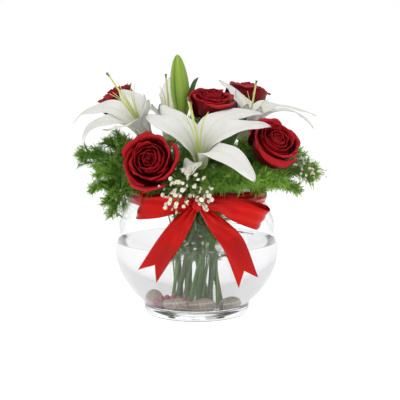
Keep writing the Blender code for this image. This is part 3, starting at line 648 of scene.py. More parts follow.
class FloorSettings(bpy.types.PropertyGroup):
    ribs: IntProperty(name="Ribs", description="Ribs of one shell", default=19, min=5)
    bead: size("Bead", "Radius of a bead", 0.0036)
    pitch: size("Pitch", "Distance between beads", 0.0072)
    pale: colour_of("Pale", "the shells", (0.780, 0.680, 0.540))


class StageSettings(bpy.types.PropertyGroup):
    distance: size("Distance", "Camera to object", 2.0)
    elevation: FloatProperty(
        name="Elevation", description="How high the camera looks from", default=math.radians(8.5),
        subtype="ANGLE")
    lens: FloatProperty(name="Lens", description="Focal length in millimetres", default=150.0)
    key: FloatProperty(name="Key", description="Power of the main light in watts", default=30.0)
    ambient: FloatProperty(name="Ambient", description="Light from all round", default=0.46)


# ---------------------------------------------------------------- finishes
GLASS_INDEX = 1.45
WATER_INDEX = 1.16  # below real water's 1.333, so that its surface stays light at its ends


def glass_finish(sizes):
    made = Finish("clear_glass", {
        "Transmission Weight": 1.0, "IOR": GLASS_INDEX, "Roughness": 0.0,
    })
    # Painted shade: the base colour greys towards the glass's outline, where the wall is seen edge-on.
    edge = made.node("ShaderNodeLayerWeight", None, {"Blend": 0.35}, "Facing")
    drawn = made.noise(16.0, 1.0, (1.0, 1.0, 0.35))
    made.feed(
        base_color=made.mix(edge.between(0.66, 0.94), sizes.tint, sizes.edge),
        normal=made.bump(drawn, 0.0004, 0.25),
    )
    made.pass_light()
    return made.material


def water_finish(sizes):
    made = Finish("water", {"Transmission Weight": 1.0, "IOR": WATER_INDEX, "Roughness": 0.0})
    haze = made.noise(22.0, 2.0)
    # The water's grey is painted shade over what is seen through it; haze varies it a little at random.
    made.feed(
        base_color=made.mix(haze * 0.5, sizes.water, tuple(c * 0.97 for c in sizes.water)),
        normal=made.bump(made.noise(30.0, 1.0), 0.0003, 0.2),
    )
    made.pass_light()
    return made.material


def satin_finish(sizes):
    """Satin: fine crossing threads, long soft streaks, broad patches of painted shade and a closed edge. Its
    places are in metres.
    """
    made = Finish("red_satin", {
        "Specular IOR Level": 1.0, "Specular Tint": (1.0, 0.13, 0.10, 1.0), "Sheen Weight": 0.03,
        "Sheen Roughness": 0.3, "Sheen Tint": (1.0, 0.10, 0.08, 1.0), "Anisotropic": 0.5,
    })
    where, across, _ = made.surface()
    threads = made.node("ShaderNodeTexWave", {"bands_direction": "Y"},
                        {"Vector": where, "Scale": 520.0, "Distortion": 0.4})
    warp = made.node("ShaderNodeTexWave", {"bands_direction": "X"},
                     {"Vector": where, "Scale": 700.0, "Distortion": 0.3})
    streaks = made.noise(60.0, 3.0, (14.0, 1.0, 1.0), where)
    creases = made.noise(22.0, 2.0, (3.2, 0.55, 1.0), where)
    broad = made.noise(13.0, 1.0, (1.0, 1.5, 1.0), where)
    middle = (across - sizes.width / 2).math("ABSOLUTE")
    edge = middle.between(sizes.width * 0.455, sizes.width * 0.49)
    body = made.mix(streaks.between(0.30, 0.72), tuple(c * 0.80 for c in sizes.colour), sizes.colour)
    # Painted shade: broad patches of noise darken the satin towards this colour.
    body = made.mix(broad.between(0.46, 0.64) * 0.70, body, sizes.margin_and_painted_shade)
    return made.feed(
        base_color=made.mix(edge * 0.8, body, sizes.margin_and_painted_shade),
        roughness=0.17 + streaks * 0.08 + edge * 0.2,
        normal=made.bump(threads * 0.05 + warp * 0.03 + streaks * 0.10 + creases, 0.0022, 0.60),
    )


def tepal_finish(sizes):
    """White, with a green throat, midrib and tip and fine veins. tone is 1 on its outer side."""
    made = Finish("lily_white", {
        "Subsurface Weight": 0.12, "Subsurface Radius": (0.004, 0.004, 0.003), "Subsurface Scale": 1.0,
        "Specular IOR Level": 0.22,
    })
    where, across, length = made.surface()
    outer = made.tone()
    off = (across - 0.5).math("ABSOLUTE")
    rib = 1 - off.between(0.012, 0.085)
    low = 1 - length.between(0.02, 0.34)
    tip = length.between(0.93, 1.0)
    cloud = made.noise(38.0, 3.0)
    veins = made.node(
        "ShaderNodeTexWave", {"bands_direction": "X"},
        {"Vector": where, "Scale": 7.0, "Distortion": 1.5, "Detail": 2.0})
    specks = made.noise(900.0, 1.0)
    body = made.mix(cloud.between(0.25, 0.75), tuple(c * f for c, f in zip(sizes.white, (0.93, 0.925, 0.92))),
                    sizes.white)
    body = made.mix(veins * (0.08 + outer * 0.08), body, (0.56, 0.57, 0.48))
    body = made.mix(rib * (1 - length.between(0.25, 0.98)) * (0.30 + outer * 0.45), body, sizes.throat)
    body = made.mix(low * (0.68 - off * 0.5), body, sizes.throat)
    body = made.mix(tip * 0.75, body, (0.10, 0.15, 0.05))
    return made.feed(
        base_color=body,
        roughness=0.42 + cloud * 0.16,
        normal=made.bump(veins * 0.8 + cloud * 0.6 + specks * 0.15, 0.00035, 0.45),
    )


def rose_finish(sizes):
    """Velvet petals: bright faces, nearly black margins, and painted shade deep in the bloom. tone is above
    0.5 on the outer side, which gets painted shade too.
    """
    made = Finish("rose_red", {
        "Sheen Weight": 0.05, "Sheen Roughness": 0.35, "Sheen Tint": (1.0, 0.08, 0.10, 1.0),
        "Specular IOR Level": 0.60, "Specular Tint": (1.0, 0.15, 0.17, 1.0),
    })
    where, _, length = made.surface()
    tone = made.tone()
    cloud = made.noise(55.0, 4.0)
    streaks = made.noise(9.0, 3.0, (5.0, 0.8, 1.0), where)
    # Painted shade: darker towards each petal's foot, deep in the bloom, and on its outer side, where tone is
    # high; cloud and streaks vary it at random.
    face = (length.between(0.35, 0.9) * 0.65 + cloud * 0.35 + streaks * 0.30 - tone * 0.38)
    body = made.mix(face, sizes.deep, sizes.bright)
    body = made.mix(length.between(0.90, 1.0) * cloud.between(0.30, 0.60), body,
                    tuple(c * 0.5 for c in sizes.deep))
    return made.feed(
        base_color=body,
        roughness=0.44 + cloud * 0.20,
        normal=made.bump(streaks * 1.0 + made.noise(420.0, 2.0) * 0.25, 0.0006, 0.5),
    )


def green_finish(name, light, dark, scale=60.0, gloss=0.42):
    """Stems and leaves: two greens that vary with tone and place, and fine lines along them."""
    made = Finish(name, {"Specular IOR Level": 0.25})
    where = made.surface()[0]
    tone = made.tone()
    cloud = made.noise(scale, 3.0)
    lines = made.noise(40.0, 2.0, (6.0, 0.6, 1.0), where)
    share = (tone * 0.75 + cloud * 0.55 + lines * 0.25 - 0.28)
    return made.feed(
        base_color=made.mix(share, dark, light),
        roughness=gloss + cloud * 0.2,
        normal=made.bump(lines + cloud * 0.6, 0.0004, 0.4),
    )


def needle_finish(sizes):
    made = Finish("fern_green", {"Specular IOR Level": 0.18})
    tone = made.tone()
    cloud = made.noise(26.0, 2.0)
    where = made.node("ShaderNodeTexCoord", output="Object")
    # Lighter higher up: needles below 0.11 m are darker.
    upper = made.node("ShaderNodeSeparateXYZ", None, {0: where}).between(-0.02, 0.11)
    return made.feed(
        base_color=made.mix(tone * 0.70 + cloud * 0.75 + upper * 0.25 - 0.30, sizes.dark, sizes.light),
        roughness=0.48 + cloud * 0.15,
        normal=made.bump(made.noise(900.0, 1.0), 0.0002, 0.3),
    )


def bud_finish():
    made = Finish("bud_green", {"Specular IOR Level": 0.45})
    length = made.surface()[2]
    tone = made.tone()
    cloud = made.noise(70.0, 3.0, (1.0, 1.0, 0.25))
    # Low tone, in the bud's grooves, is painted shade.
    body = made.mix(tone * 0.8 + cloud * 0.3, (0.085, 0.190, 0.014), (0.320, 0.480, 0.050))
    body = made.mix(1 - length.between(0.04, 0.26), body, (0.040, 0.110, 0.014))
    body = made.mix(length.between(0.93, 1.0), body, (0.06, 0.13, 0.02))
    return made.feed(
        base_color=body, roughness=0.36 + cloud * 0.15, normal=made.bump(cloud + tone * 0.5, 0.0006, 0.5))


def pistil_finish(sizes):
    """Filaments and style: yellow-green, with a dark green stigma where tone is 1."""
    made = Finish("pistil_yellow", {"Specular IOR Level": 0.4})
    tone = made.tone()
    cloud = made.noise(300.0, 2.0)
    body = made.mix(cloud * 0.35, sizes.pistil, (0.42, 0.52, 0.12))
    body = made.mix(tone.between(0.45, 1.0), body, (0.110, 0.160, 0.040))
    return made.feed(base_color=body, roughness=0.38 + cloud * 0.15, normal=made.bump(cloud, 0.0002, 0.4))


def breath_finish():
    """Tiny cream flowers on green stalks: tone is below 0.3 on the stalks."""
    made = Finish("breath_white", {"Specular IOR Level": 0.3})
    tone = made.tone()
    cloud = made.noise(420.0, 2.0)
    flower = made.mix(cloud.between(0.3, 0.7), (0.82, 0.74, 0.58), (0.90, 0.86, 0.76))
    return made.feed(
        base_color=made.mix(tone.between(0.20, 0.45), (0.16, 0.25, 0.07), flower),
        roughness=0.55 + cloud * 0.2,
        normal=made.bump(cloud, 0.0003, 0.5),
    )


def shell_finish(sizes):
    """Clam shells: pale, with darker rings of growth, and ribs that tone follows: painted shade in the
    grooves between them.
    """
    made = Finish("shell_pale", {"Specular IOR Level": 0.45, "Coat Roughness": 0.25})
    where = made.surface()[0]
    tone = made.tone()
    rings = made.node(
        "ShaderNodeTexWave", {"bands_direction": "Y"},
        {"Vector": where, "Scale": 3.2, "Distortion": 2.0, "Detail": 2.0})
    cloud = made.noise(60.0, 3.0)
    body = made.mix(rings.between(0.35, 0.75), (0.26, 0.15, 0.09), sizes.pale)
    body = made.mix(cloud.between(0.35, 0.75) * 0.7, body, (0.80, 0.74, 0.66))
    return made.feed(
        # Painted shade in the grooves between the ribs, where tone is high.
        base_color=made.mix(tone * 0.55, body, (0.26, 0.17, 0.11)),
        roughness=0.32 + cloud * 0.25,
        normal=made.bump(rings * 0.8 + tone, 0.0012, 0.8),
    )


def bead_finish():
    made = Finish("bead_red", {"Specular IOR Level": 0.6, "Coat Weight": 0.4, "Coat Roughness": 0.08})
    cloud = made.noise(240.0, 2.0)
    tone = made.tone()
    return made.feed(
        base_color=made.mix(tone * 0.6 + cloud * 0.5, (0.180, 0.004, 0.020), (0.460, 0.018, 0.060)),
        roughness=0.14 + cloud * 0.16,
        normal=made.bump(cloud, 0.0002, 0.4),
    )


def floor_finish():
    made = Finish("pale_floor", {"Specular IOR Level": 0.2, "Emission Strength": 0.58})
    made.shader.inputs["Emission Color"].default_value = (1.0, 1.0, 1.0, 1.0)
    cloud = made.noise(3.0, 2.0)
    return made.feed(base_color=made.mix(cloud, (0.90, 0.90, 0.90), (0.92, 0.92, 0.915)),
                     roughness=0.6 + cloud * 0.1)


# ---------------------------------------------------------------- bowl and water
def bowl_radius(height, inset=0.0):
    """Radius of the round part at a height, on its outside or inset inwards from it."""
    share = (height - BOWL_MIDDLE) / (BOWL_HALF_HEIGHT - inset)
    return (BOWL_RADIUS - inset) * math.sqrt(max(0.0, 1 - share * share))


def heights(low, high, count):
    return [low + (high - low) * i / (count - 1) for i in range(count)]


def hollow(wall, low, high, count):
    """Inside of the bowl between two heights, from top to bottom, with the rounding at its floor."""
    curve = FLOOR + 0.0050
    rows = [(bowl_radius(z, wall), z) for z in heights(high, curve, count)]
    edge = rows[-1][0]
    for turn in (22, 45, 68, 90):
        a = math.radians(turn)
        rows.append((edge - 0.0090 * (1 - math.cos(a)), curve - (curve - low) * math.sin(a)))
    return rows


def bowl_shape(sizes):
    """The bowl as one thick lathe shape: hollow under its base, round wall, polished lip."""
    wall, low = sizes.wall, FOOT_RADIUS
    lip = bowl_radius(NECK) + sizes.flare
    outline = [(0.0, 0.0016), (0.022, 0.0014), (0.044, 0.0009), (low - 0.0095, 0.0002), (low - 0.0075, 0.0)]
    outline += [(low - 0.0075 + 0.0060 * math.sin(a), 0.0042 * (1 - math.cos(a)))
                for a in (0.4, 0.8, 1.2, 1.57)]
    outline += [(low - 0.0006, 0.0062), (low, 0.0096), (low + 0.0004, 0.0125)]
    outline += [(bowl_radius(z), z) for z in heights(FOOT_HEIGHT, NECK, 46)]
    outline += [(lip - sizes.flare * 0.75, NECK + 0.004), (lip - sizes.flare * 0.2, RIM - 0.0045)]
    for turn in range(0, 181, 20):
        a = math.radians(turn)
        outline.append((lip - wall / 2 + wall / 2 * math.cos(a), RIM - wall / 2 + wall / 2 * math.sin(a)))
    outline += [(lip - wall - sizes.flare * 0.2, RIM - 0.0045),
                (lip - wall - sizes.flare * 0.75, NECK + 0.004)]
    outline += [*hollow(wall, FLOOR, NECK, 46), (0.030, FLOOR - 0.0002), (0.0, FLOOR - 0.0004)]
    return Shape().turned(outline, sizes.steps)


def water_shape(sizes):
    """Water that wets the glass: it reaches a little into the wall and climbs it at its edge."""
    sides = hollow(sizes.wall - 0.0004, FLOOR - 0.0006, WATER_LEVEL + 0.0008, 34)
    edge = bowl_radius(WATER_LEVEL, sizes.wall)
    top = [(edge - 0.0009, WATER_LEVEL + 0.0002), (edge - 0.0025, WATER_LEVEL - 0.0004),
           (edge - 0.0045, WATER_LEVEL - 0.0007),
           (edge * 0.5, WATER_LEVEL - 0.0007), (0.0, WATER_LEVEL - 0.0007)]
    return Shape().turned([(0.0, FLOOR - 0.0008), *reversed(sides), *top], sizes.steps)


# ---------------------------------------------------------------- ribbon
BAND_MIDDLE = RIM - 0.0080
BAND_HALF = 0.0090  # half of the gathered band's height
PLEAT = 0.0016  # height of the pleats beside the knot
TURNED, UNDER = 0.54, 0.46  # shares of the knot's ribbon that show and that are folded under
KNOT_LOW, KNOT_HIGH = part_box("ribbon_knot")
KNOT = (KNOT_LOW + KNOT_HIGH) / 2
KNOT_SIZE = KNOT_HIGH - KNOT_LOW


def ribbon_rows(points, widths, lies, count, wide, gather, notch=0.0):
    """Rows across a ribbon along points. gather is the height of its pleats where it is pinched."""
    full = max(widths)
    length = sum((b - a).length for a, b in zip(smooth(points, 12), smooth(points, 12)[1:]))
    rows, places = [], []
    for i in range(count):
        share = i / (count - 1)
        row, where = [], []
        for j in range(wide):
            v = j / (wide - 1) * 2 - 1
            s = share * (1 - (1 - abs(v)) * notch / length)
            centre, after = along(points, s), min(s + 0.01, 1.0)
            ahead = along(points, after) - along(points, after - 0.02)
            width = along([(w, 0, 0) for w in widths], s).x
            lie = along(lies, s).normalized()
            face = lie.cross(ahead).normalized()
            pinch = max(0.0, 1 - width / full)
            pleat = math.cos(v * math.pi * 2.5 + 0.6) * gather * pinch * 1.6
            cup = (1 - v * v) * (0.0016 + 0.004 * pinch)
            roll = (0.0012 * math.sin(s * 9 + v * 2.2) + 0.0006 * math.sin(v * 7 + s * 14)) * (1 - pinch)
            row.append(centre + lie * width / 2 * v + face * (pleat + cup + roll))
            where.append(((v + 1) / 2 * full, s * length))
        rows.append(row)
        places.append(where)
    return rows, places, length


def band_pieces(sizes):
    """Ribbon gathered round the neck: it hugs the glass at its edges and swells between them."""
    low, high = BAND_MIDDLE - BAND_HALF, BAND_MIDDLE + BAND_HALF
    lip = bowl_radius(NECK) + 0.0020 + 0.0006
    rows, places = [], []
    count, wide = 180, 19
    around = 2 * math.pi * lip
    for i in range(count):
        angle = -math.pi / 2 + 2 * math.pi * i / (count - 1)
        row, where = [], []
        for j in range(wide):
            v = j / (wide - 1)
            z = low + (high - low) * v
            rest = max(lip, bowl_radius(z) + 0.0009)
            swell = 0.0047 * math.sin(math.pi * v) ** 0.7
            fold = 0.0011 * math.sin(3 * math.pi * v + 1.3 * math.sin(angle * 3) + angle * 2)
            fold += 0.0006 * math.sin(5 * math.pi * v - angle * 5)
            reach = rest + swell + fold * math.sin(math.pi * v)
            z += 0.0009 * math.sin(angle * 4 + 0.7) + 0.0006 * math.sin(angle * 9)
            row.append(Vector((reach * math.cos(angle), reach * math.sin(angle), z)))
            where.append((v * sizes.width, around * i / (count - 1)))
        rows.append(row)
        places.append(where)
    return Shape().slab(rows, sizes.thickness, places), around


def loop_rows(side, sizes):
    """One loop of the bow: out of the knot by the band, round, and back in front."""
    start = KNOT.x + side * (KNOT_SIZE.x / 2 - 0.0020)
    drop = 0.004 if side < 0 else 0.016
    reach = 0.060 if side < 0 else 0.066
    reach += 0.0026
    full, pinched = sizes.width, sizes.width * 0.42
    back, front = KNOT.y + KNOT_SIZE.y * 0.20, KNOT.y - KNOT_SIZE.y * 0.25
    points = [
        (start, back, KNOT.z + 0.0005),
        (start + side * reach * 0.35, back + 0.0010, KNOT.z - drop * 0.1),
        (start + side * reach * 0.75, back + 0.0130, KNOT.z - drop * 0.6),
        (start + side * reach, back + 0.0150, KNOT.z - drop),
        (start + side * reach * 0.98, front - 0.0020, KNOT.z - drop * 1.1),
        (start + side * reach * 0.62, front - 0.0100, KNOT.z - drop * 0.45),
        (start + side * reach * 0.28, front - 0.0060, KNOT.z + 0.0010),
        (start, front, KNOT.z + 0.0005),
    ]
    lean = 0.30 if side < 0 else -0.62
    upright, leaning = UP, Vector((side * -lean, 0.10, 1.0))
    lies = [upright, upright, leaning, leaning, leaning, leaning, upright, upright]
    widths = [pinched, full * 0.75, full, full, full, full, full * 0.72, pinched]
    return ribbon_rows([Vector(p) for p in points], widths, lies, 76, 17, PLEAT)


def front_of_bowl(x, width):
    near = max(0.0, abs(x) - width / 2)
    return -math.sqrt(BOWL_RADIUS**2 - near**2) - 0.0018


def tail_rows(side, sizes):
    """One tail of the bow: it hangs in front of the bowl and ends in a swallow's tail."""
    start = Vector((KNOT.x + side * 0.0060, KNOT.y + 0.0005, KNOT.z - KNOT_SIZE.z * 0.36))
    reach, drop, bulge = (0.052, 0.074, 0.50) if side < 0 else (0.051, 0.082, 0.66)
    x, z = KNOT.x + side * 0.0070, KNOT.z - KNOT_SIZE.z * 0.62
    places = [(x + side * reach * share, z - drop * fall) for share, fall in ((bulge, 0.44), (1.0, 1.0))]
    middle, end = (Vector((x, front_of_bowl(x, sizes.width), z)) for x, z in places)
    points = [start, start.lerp(middle, 0.45) + Vector((0, -0.003, 0.001)), middle, end]
    level = (end - start).normalized().cross(Vector((0, -1, 0))).normalized()
    full = sizes.width
    return ribbon_rows(points, [full * 0.40, full * 0.82, full, full], [level] * 4, 64, 15, PLEAT,
                       sizes.notch)


def knot_shape(sizes):
    """The ribbon wound once round the loops' pinched middle, pleated, with both its edges folded under."""
    rows, places = [], []
    count, wide = 54, 29
    around = math.pi * (KNOT_SIZE.y + KNOT_SIZE.z) / 2
    for i in range(count):
        angle = math.radians(60 + 388 * i / (count - 1))
        row, where = [], []
        for j in range(wide):
            w = j / (wide - 1) * 2 - 1
            face = min(abs(w) / TURNED, 1.0)
            under = max(0.0, abs(w) - TURNED) / UNDER
            v = math.copysign(face - under * 0.92, w)
            pleats = 0.055 * math.cos(v * math.pi * 3 + 0.5) * (1 - under)
            grow = 1 - 0.16 * face**2 + pleats - 0.05 * i / (count - 1)
            grow -= 0.13 * math.sin(min(1.0, under * 3) * math.pi / 2)
            slant = 0.0010 * math.sin(angle) + 0.0006 * math.sin(2 * angle + v)
            row.append(Vector((
                KNOT.x + v * KNOT_SIZE.x * 0.50 + slant,
                KNOT.y - KNOT_SIZE.y * 0.50 * math.cos(angle) * grow,
                KNOT.z + KNOT_SIZE.z * 0.50 * math.sin(angle) * grow,
            )))
            where.append(((w + 1) / 2 * sizes.width, around * i / (count - 1)))
        rows.append(row)
        places.append(where)
    return Shape().slab(rows, sizes.thickness, places), around


# ---------------------------------------------------------------- lilies
BUD = (placed(BUD_BASE), placed(BUD_TIP))
SECTORS = 0.60  # half width of a tepal over its distance from the axis
FOOT_LEAN, TRUMPET_LEAN = 9, 22  # degrees that every tepal leans out at its foot, and gains by its middle
LONGER_STYLE = 1.14  # length of a style over that of the node's


def tepal_rows(tepal, place, behind, sizes, phase):
    """One tepal: a shared trumpet below, its own lean and curl above, grooved and wavy."""
    count, wide = 44, 17
    step = tepal.length / (count - 1)
    reach, height, rows = 0.0055, 0.0, []
    for i in range(count):
        s = i / (count - 1)
        ahead = s + 0.06
        own = max(0.0, ahead - tepal.throat) / (1 - tepal.throat)
        lean = FOOT_LEAN + TRUMPET_LEAN * min(1.0, ahead / 0.55) ** 2
        lean += (tepal.flare - FOOT_LEAN - TRUMPET_LEAN) * min(1.0, own * 2.2)
        lean += tepal.curl * max(0.0, own - 0.35) ** 1.5 * 1.9
        lean = math.radians(lean)
        if i:
            reach += step * math.sin(lean)
            height += step * math.cos(lean)
        swell = math.sin(math.pi * min(1.0, s * 0.88 + 0.12)) ** 0.72
        half = min(max(0.0007, tepal.width * 0.53 * swell), reach * SECTORS)
        wrap = reach * 1.25
        own = max(0.0, s - tepal.throat) / (1 - tepal.throat)
        veer = math.radians(place + tepal.sweep * own)
        out, side = round_upright(veer)
        under = out * math.cos(lean) - UP * math.sin(lean)
        row = []
        for j in range(wide):
            v = j / (wide - 1) * 2 - 1
            angle = v * half / wrap
            point = out * (reach - wrap * (1 - math.cos(angle))) + side * wrap * math.sin(angle)
            point += UP * height
            rib = math.exp(-((v * half / 0.0019) ** 2)) * (1 - soft_step(0.75, 1.0, s))
            deep = sizes.groove * rib - 0.10 * half * v * v * (1 - soft_step(0.40, 0.75, s))
            deep += 0.34 * half * v * v * soft_step(0.55, 0.95, s)
            wave = math.sin(s * 17 + phase + (1.4 if v > 0 else 0.0)) * abs(v) ** 2.4
            wave *= math.sin(math.pi * s) ** 0.8
            deep += sizes.wave * wave * (1.0 if v > 0
                                         else 0.8) + behind * 0.0012 * (1 - soft_step(0.3, 0.6, s))
            row.append(point + under * deep)
        rows.append(row)
    return rows


def stamens_shape(style):
    """Receptacle, style with a three-lobed tip, and six filaments without anthers that lean apart."""
    shape = Shape()
    knob = [(0.0, -0.0040), (0.0040, -0.0040), (0.0062, -0.0030), (0.0070, -0.0014), (0.0060, -0.0004),
            (0.0032, 0.0008), (0.0029, 0.0060), (0.0024, 0.0095), (0.0, 0.0110)]
    shape.turned(knob, 18, lambda angle, share: 1 + 0.06 * math.cos(6 * angle))
    style *= LONGER_STYLE
    bend = [(0, 0, 0), (-0.001, 0, style * 0.5), (-0.005, -0.002, style - 0.003), (-0.0054, -0.0024, style)]
    line = smooth(bend, 8)
    last = len(line) - 1
    radii = [0.0013 - 0.0004 * i / last + 0.0005 * soft_step(0.92, 1.0, i / last) for i in range(len(line))]
    shape.tube(line, radii, 9)
    for k in range(3):
        angle = math.radians(120 * k)
        lobe = line[-1] + Vector((math.cos(angle) * 0.0008, math.sin(angle) * 0.0008, 0.0001))
        ball = [(0.0010 * math.sin(a), -0.0009 * math.cos(a)) for a in (0.0, 0.6, 1.2, 1.8, 2.5, math.pi)]
        bead = Shape().turned([(0.0, -0.0009), *ball[1:-1], (0.0, 0.0009)], 8, None, lambda a, s: 1.0)
        bead.tones = [1.0] * len(bead.tones)
        shape.join(bead.moved(Matrix.Translation(lobe)))
    shape.tones = [1.0 if c.z > style - 0.0035 else 0.15 for c in shape.corners]
    for k in range(6):
        angle = math.radians(30 + 60 * k)
        out, side = round_upright(angle)
        side = side * (0.002 if k % 2 else -0.001)
        long = style * (0.80 if k % 2 else 0.70)
        points = [out * 0.0016, out * 0.0030 + UP * (long * 0.45), out * 0.0085 + side + UP * (long * 0.80),
                  out * 0.0165 + side * 2 + UP * long]
        line = smooth(points, 7)
        last = len(line) - 1
        shape.tube(line, [0.00085 - 0.00055 * i / last for i in range(len(line))], 7, 0.1)
    return shape


def leaf_rows(points, width, fold=0.25):
    """A narrow leaf with a folded midrib and a slow twist."""
    line = smooth([placed(point) for point in points], 12)
    last = len(line) - 1
    rows = []
    for i, point in enumerate(line):
        s = i / last
        half = max(0.0005, width / 2 * math.sin(math.pi * (0.10 + 0.89 * s)) ** 0.8)
        ahead = (line[min(i + 1, last)] - line[max(i - 1, 0)]).normalized()
        side = ahead.cross(Vector((0.25, -0.9, 0.35))).normalized()
        up = side.cross(ahead)
        row = []
        for j in range(11):
            v = j / 5 - 1
            wave = 0.0004 * math.sin(s * 14 + v * 2) * abs(v)
            row.append(point + side * half * v + up * (half * fold * abs(v) ** 1.4 + wave))
        rows.append(row)
    return rows


SPIRAL = 35  # degrees that a stem turns between its foot and the waist


def bundle(radius, angle):
    """Foot, waist and neck points of a stem in the bunch, which spirals as a hand-tied one does."""
    points = []
    for share, turn, height in ((1.25, -1.0, FLOOR + 0.0027), (1.0, 0.0, RIM * 0.487),
                                (1.45, 0.6, RIM * 0.883)):
        way = math.radians(angle + turn * SPIRAL)
        reach = radius * share
        points.append(Vector((reach * math.cos(way), reach * math.sin(way), height)))
    return points


def branch(start, flower, length, steps=9):
    """A stem from start that comes to a flower's base along its axis."""
    axis = Vector(flower.axis).normalized()
    top = placed(flower.base) - axis * 0.0043
    return [*smooth([*start, top - axis * length, top - axis * 0.0040], steps), top]


def knobbly(line, radius, chance, rough=0.05):
    """Radii that vary a little along a stem and widen at its cut foot."""
    shift = chance.uniform(0, 6)
    last = len(line) - 1
    return [
        radius * (1 + rough * math.sin(i * 0.9 + shift) + 0.10 * soft_step(0.08, 0.0, i / last))
        for i in range(last + 1)
    ]


def lily_stem_shape(lilies, waist, fork, bud, leaves, lengths):
    """A thick stem that forks under the rim, its branches, and its leaves."""
    shape = Shape()
    chance = random.Random(len(leaves) + len(lilies))
    fork = placed(fork)
    trunk = smooth([*bundle(*waist), fork], 10)
    trunk.append(trunk[-1] + (trunk[-1] - trunk[-2]).normalized() * 0.002)
    shape.tube(trunk, knobbly(trunk, 0.0038, chance), 14, 0.55)
    for lily, length in zip(lilies, lengths):
        line = branch([fork], lily, length)
        last = len(line) - 1
        shape.tube(line, [0.0028 + 0.0016 * soft_step(0.8, 1.0, i / last) for i in range(last + 1)], 12, 0.8)
    if bud:
        axis = (bud[1] - bud[0]).normalized()
        line = smooth([fork, bud[0] - axis * 0.030, bud[0] + axis * 0.0010], 9)
        last = len(line) - 1
        shape.tube(line, [0.0025 + 0.0020 * soft_step(0.85, 1.0, i / last) for i in range(last + 1)], 12,
                   0.45)
    for points, width, tone in leaves:
        shape.slab(leaf_rows(points, width), 0.0007, None, (tone, tone * 0.8))
    return shape


def bud_shape():
    """A closed bud: three outer tepals with a raised rib each, that meet in grooves and a pointed tip."""
    base, tip = BUD
    length = (tip - base).length
    shares = [(0.0, 0.0), (0.30, 0.0), (0.42, 0.03), (0.78, 0.16), (0.98, 0.34), (1.0, 0.50), (0.86, 0.70),
              (0.56, 0.88),
              (0.26, 0.97), (0.0, 1.0)]
    known = [Vector((r, z, 0)) for r, z in shares]
    outline = [(BUD_RADIUS * p.x, length * min(p.y, 1.0)) for p in smooth(known, 5)]
    outline[0], outline[-1] = (0.0, 0.0), (0.0, length)

    def ribs(angle, share):
        third = math.cos(3 * angle)
        rib = max(0.0, third) ** 14
        groove = max(0.0, -third) ** 22
        return 1 + 0.055 * third + 0.05 * rib - 0.12 * groove * soft_step(1.0, 0.6, share)

    # Tone for the bud's finish: painted shade in the grooves where the tepals meet, a thin darker line on
    # each rib, and fine stripes.
    def margin_and_painted_shade(angle, share):
        third = math.cos(3 * angle)
        grooves = 0.75 * max(0.0, -third) ** 10
        return 0.80 - grooves - 0.35 * max(0.0, third) ** 24 + 0.12 * math.sin(12 * angle)

    shape = Shape().turned(outline, 60, ribs, margin_and_painted_shade)
    return shape.moved(facing(base, tip - base, -70))


FRONT_LEAF = ((0.0280, -0.0220, 0.0060), (0.0300, -0.0400, 0.0480), (0.0480, -0.0440, 0.0760),
              (0.0600, -0.0400, 0.0900))
SIDE_LEAF = ((-0.0350, 0.0060, 0.0100), (-0.0640, -0.0180, 0.0310), (-0.0810, -0.0410, 0.0320),
             (-0.0870, -0.0540, 0.0040))
BRACT = ((-0.0150, 0.0120, 0.0900), (-0.0080, 0.0080, 0.1080), (-0.0030, 0.0050, 0.1230),
         (0.0020, 0.0020, 0.1300))


# ---------------------------------------------------------------- roses
TIGHT = ((0.02, 0.12), (0.55, 0.30), (1.00, 0.62), (0.98, 0.90), (0.72, 1.02), (0.60, 1.05))
OPEN = ((0.10, 0.02), (0.74, 0.22), (0.99, 0.60), (1.00, 0.88), (1.14, 0.97), (1.24, 0.88))


GOLDEN_ANGLE = 137.5  # degrees from one petal to the next


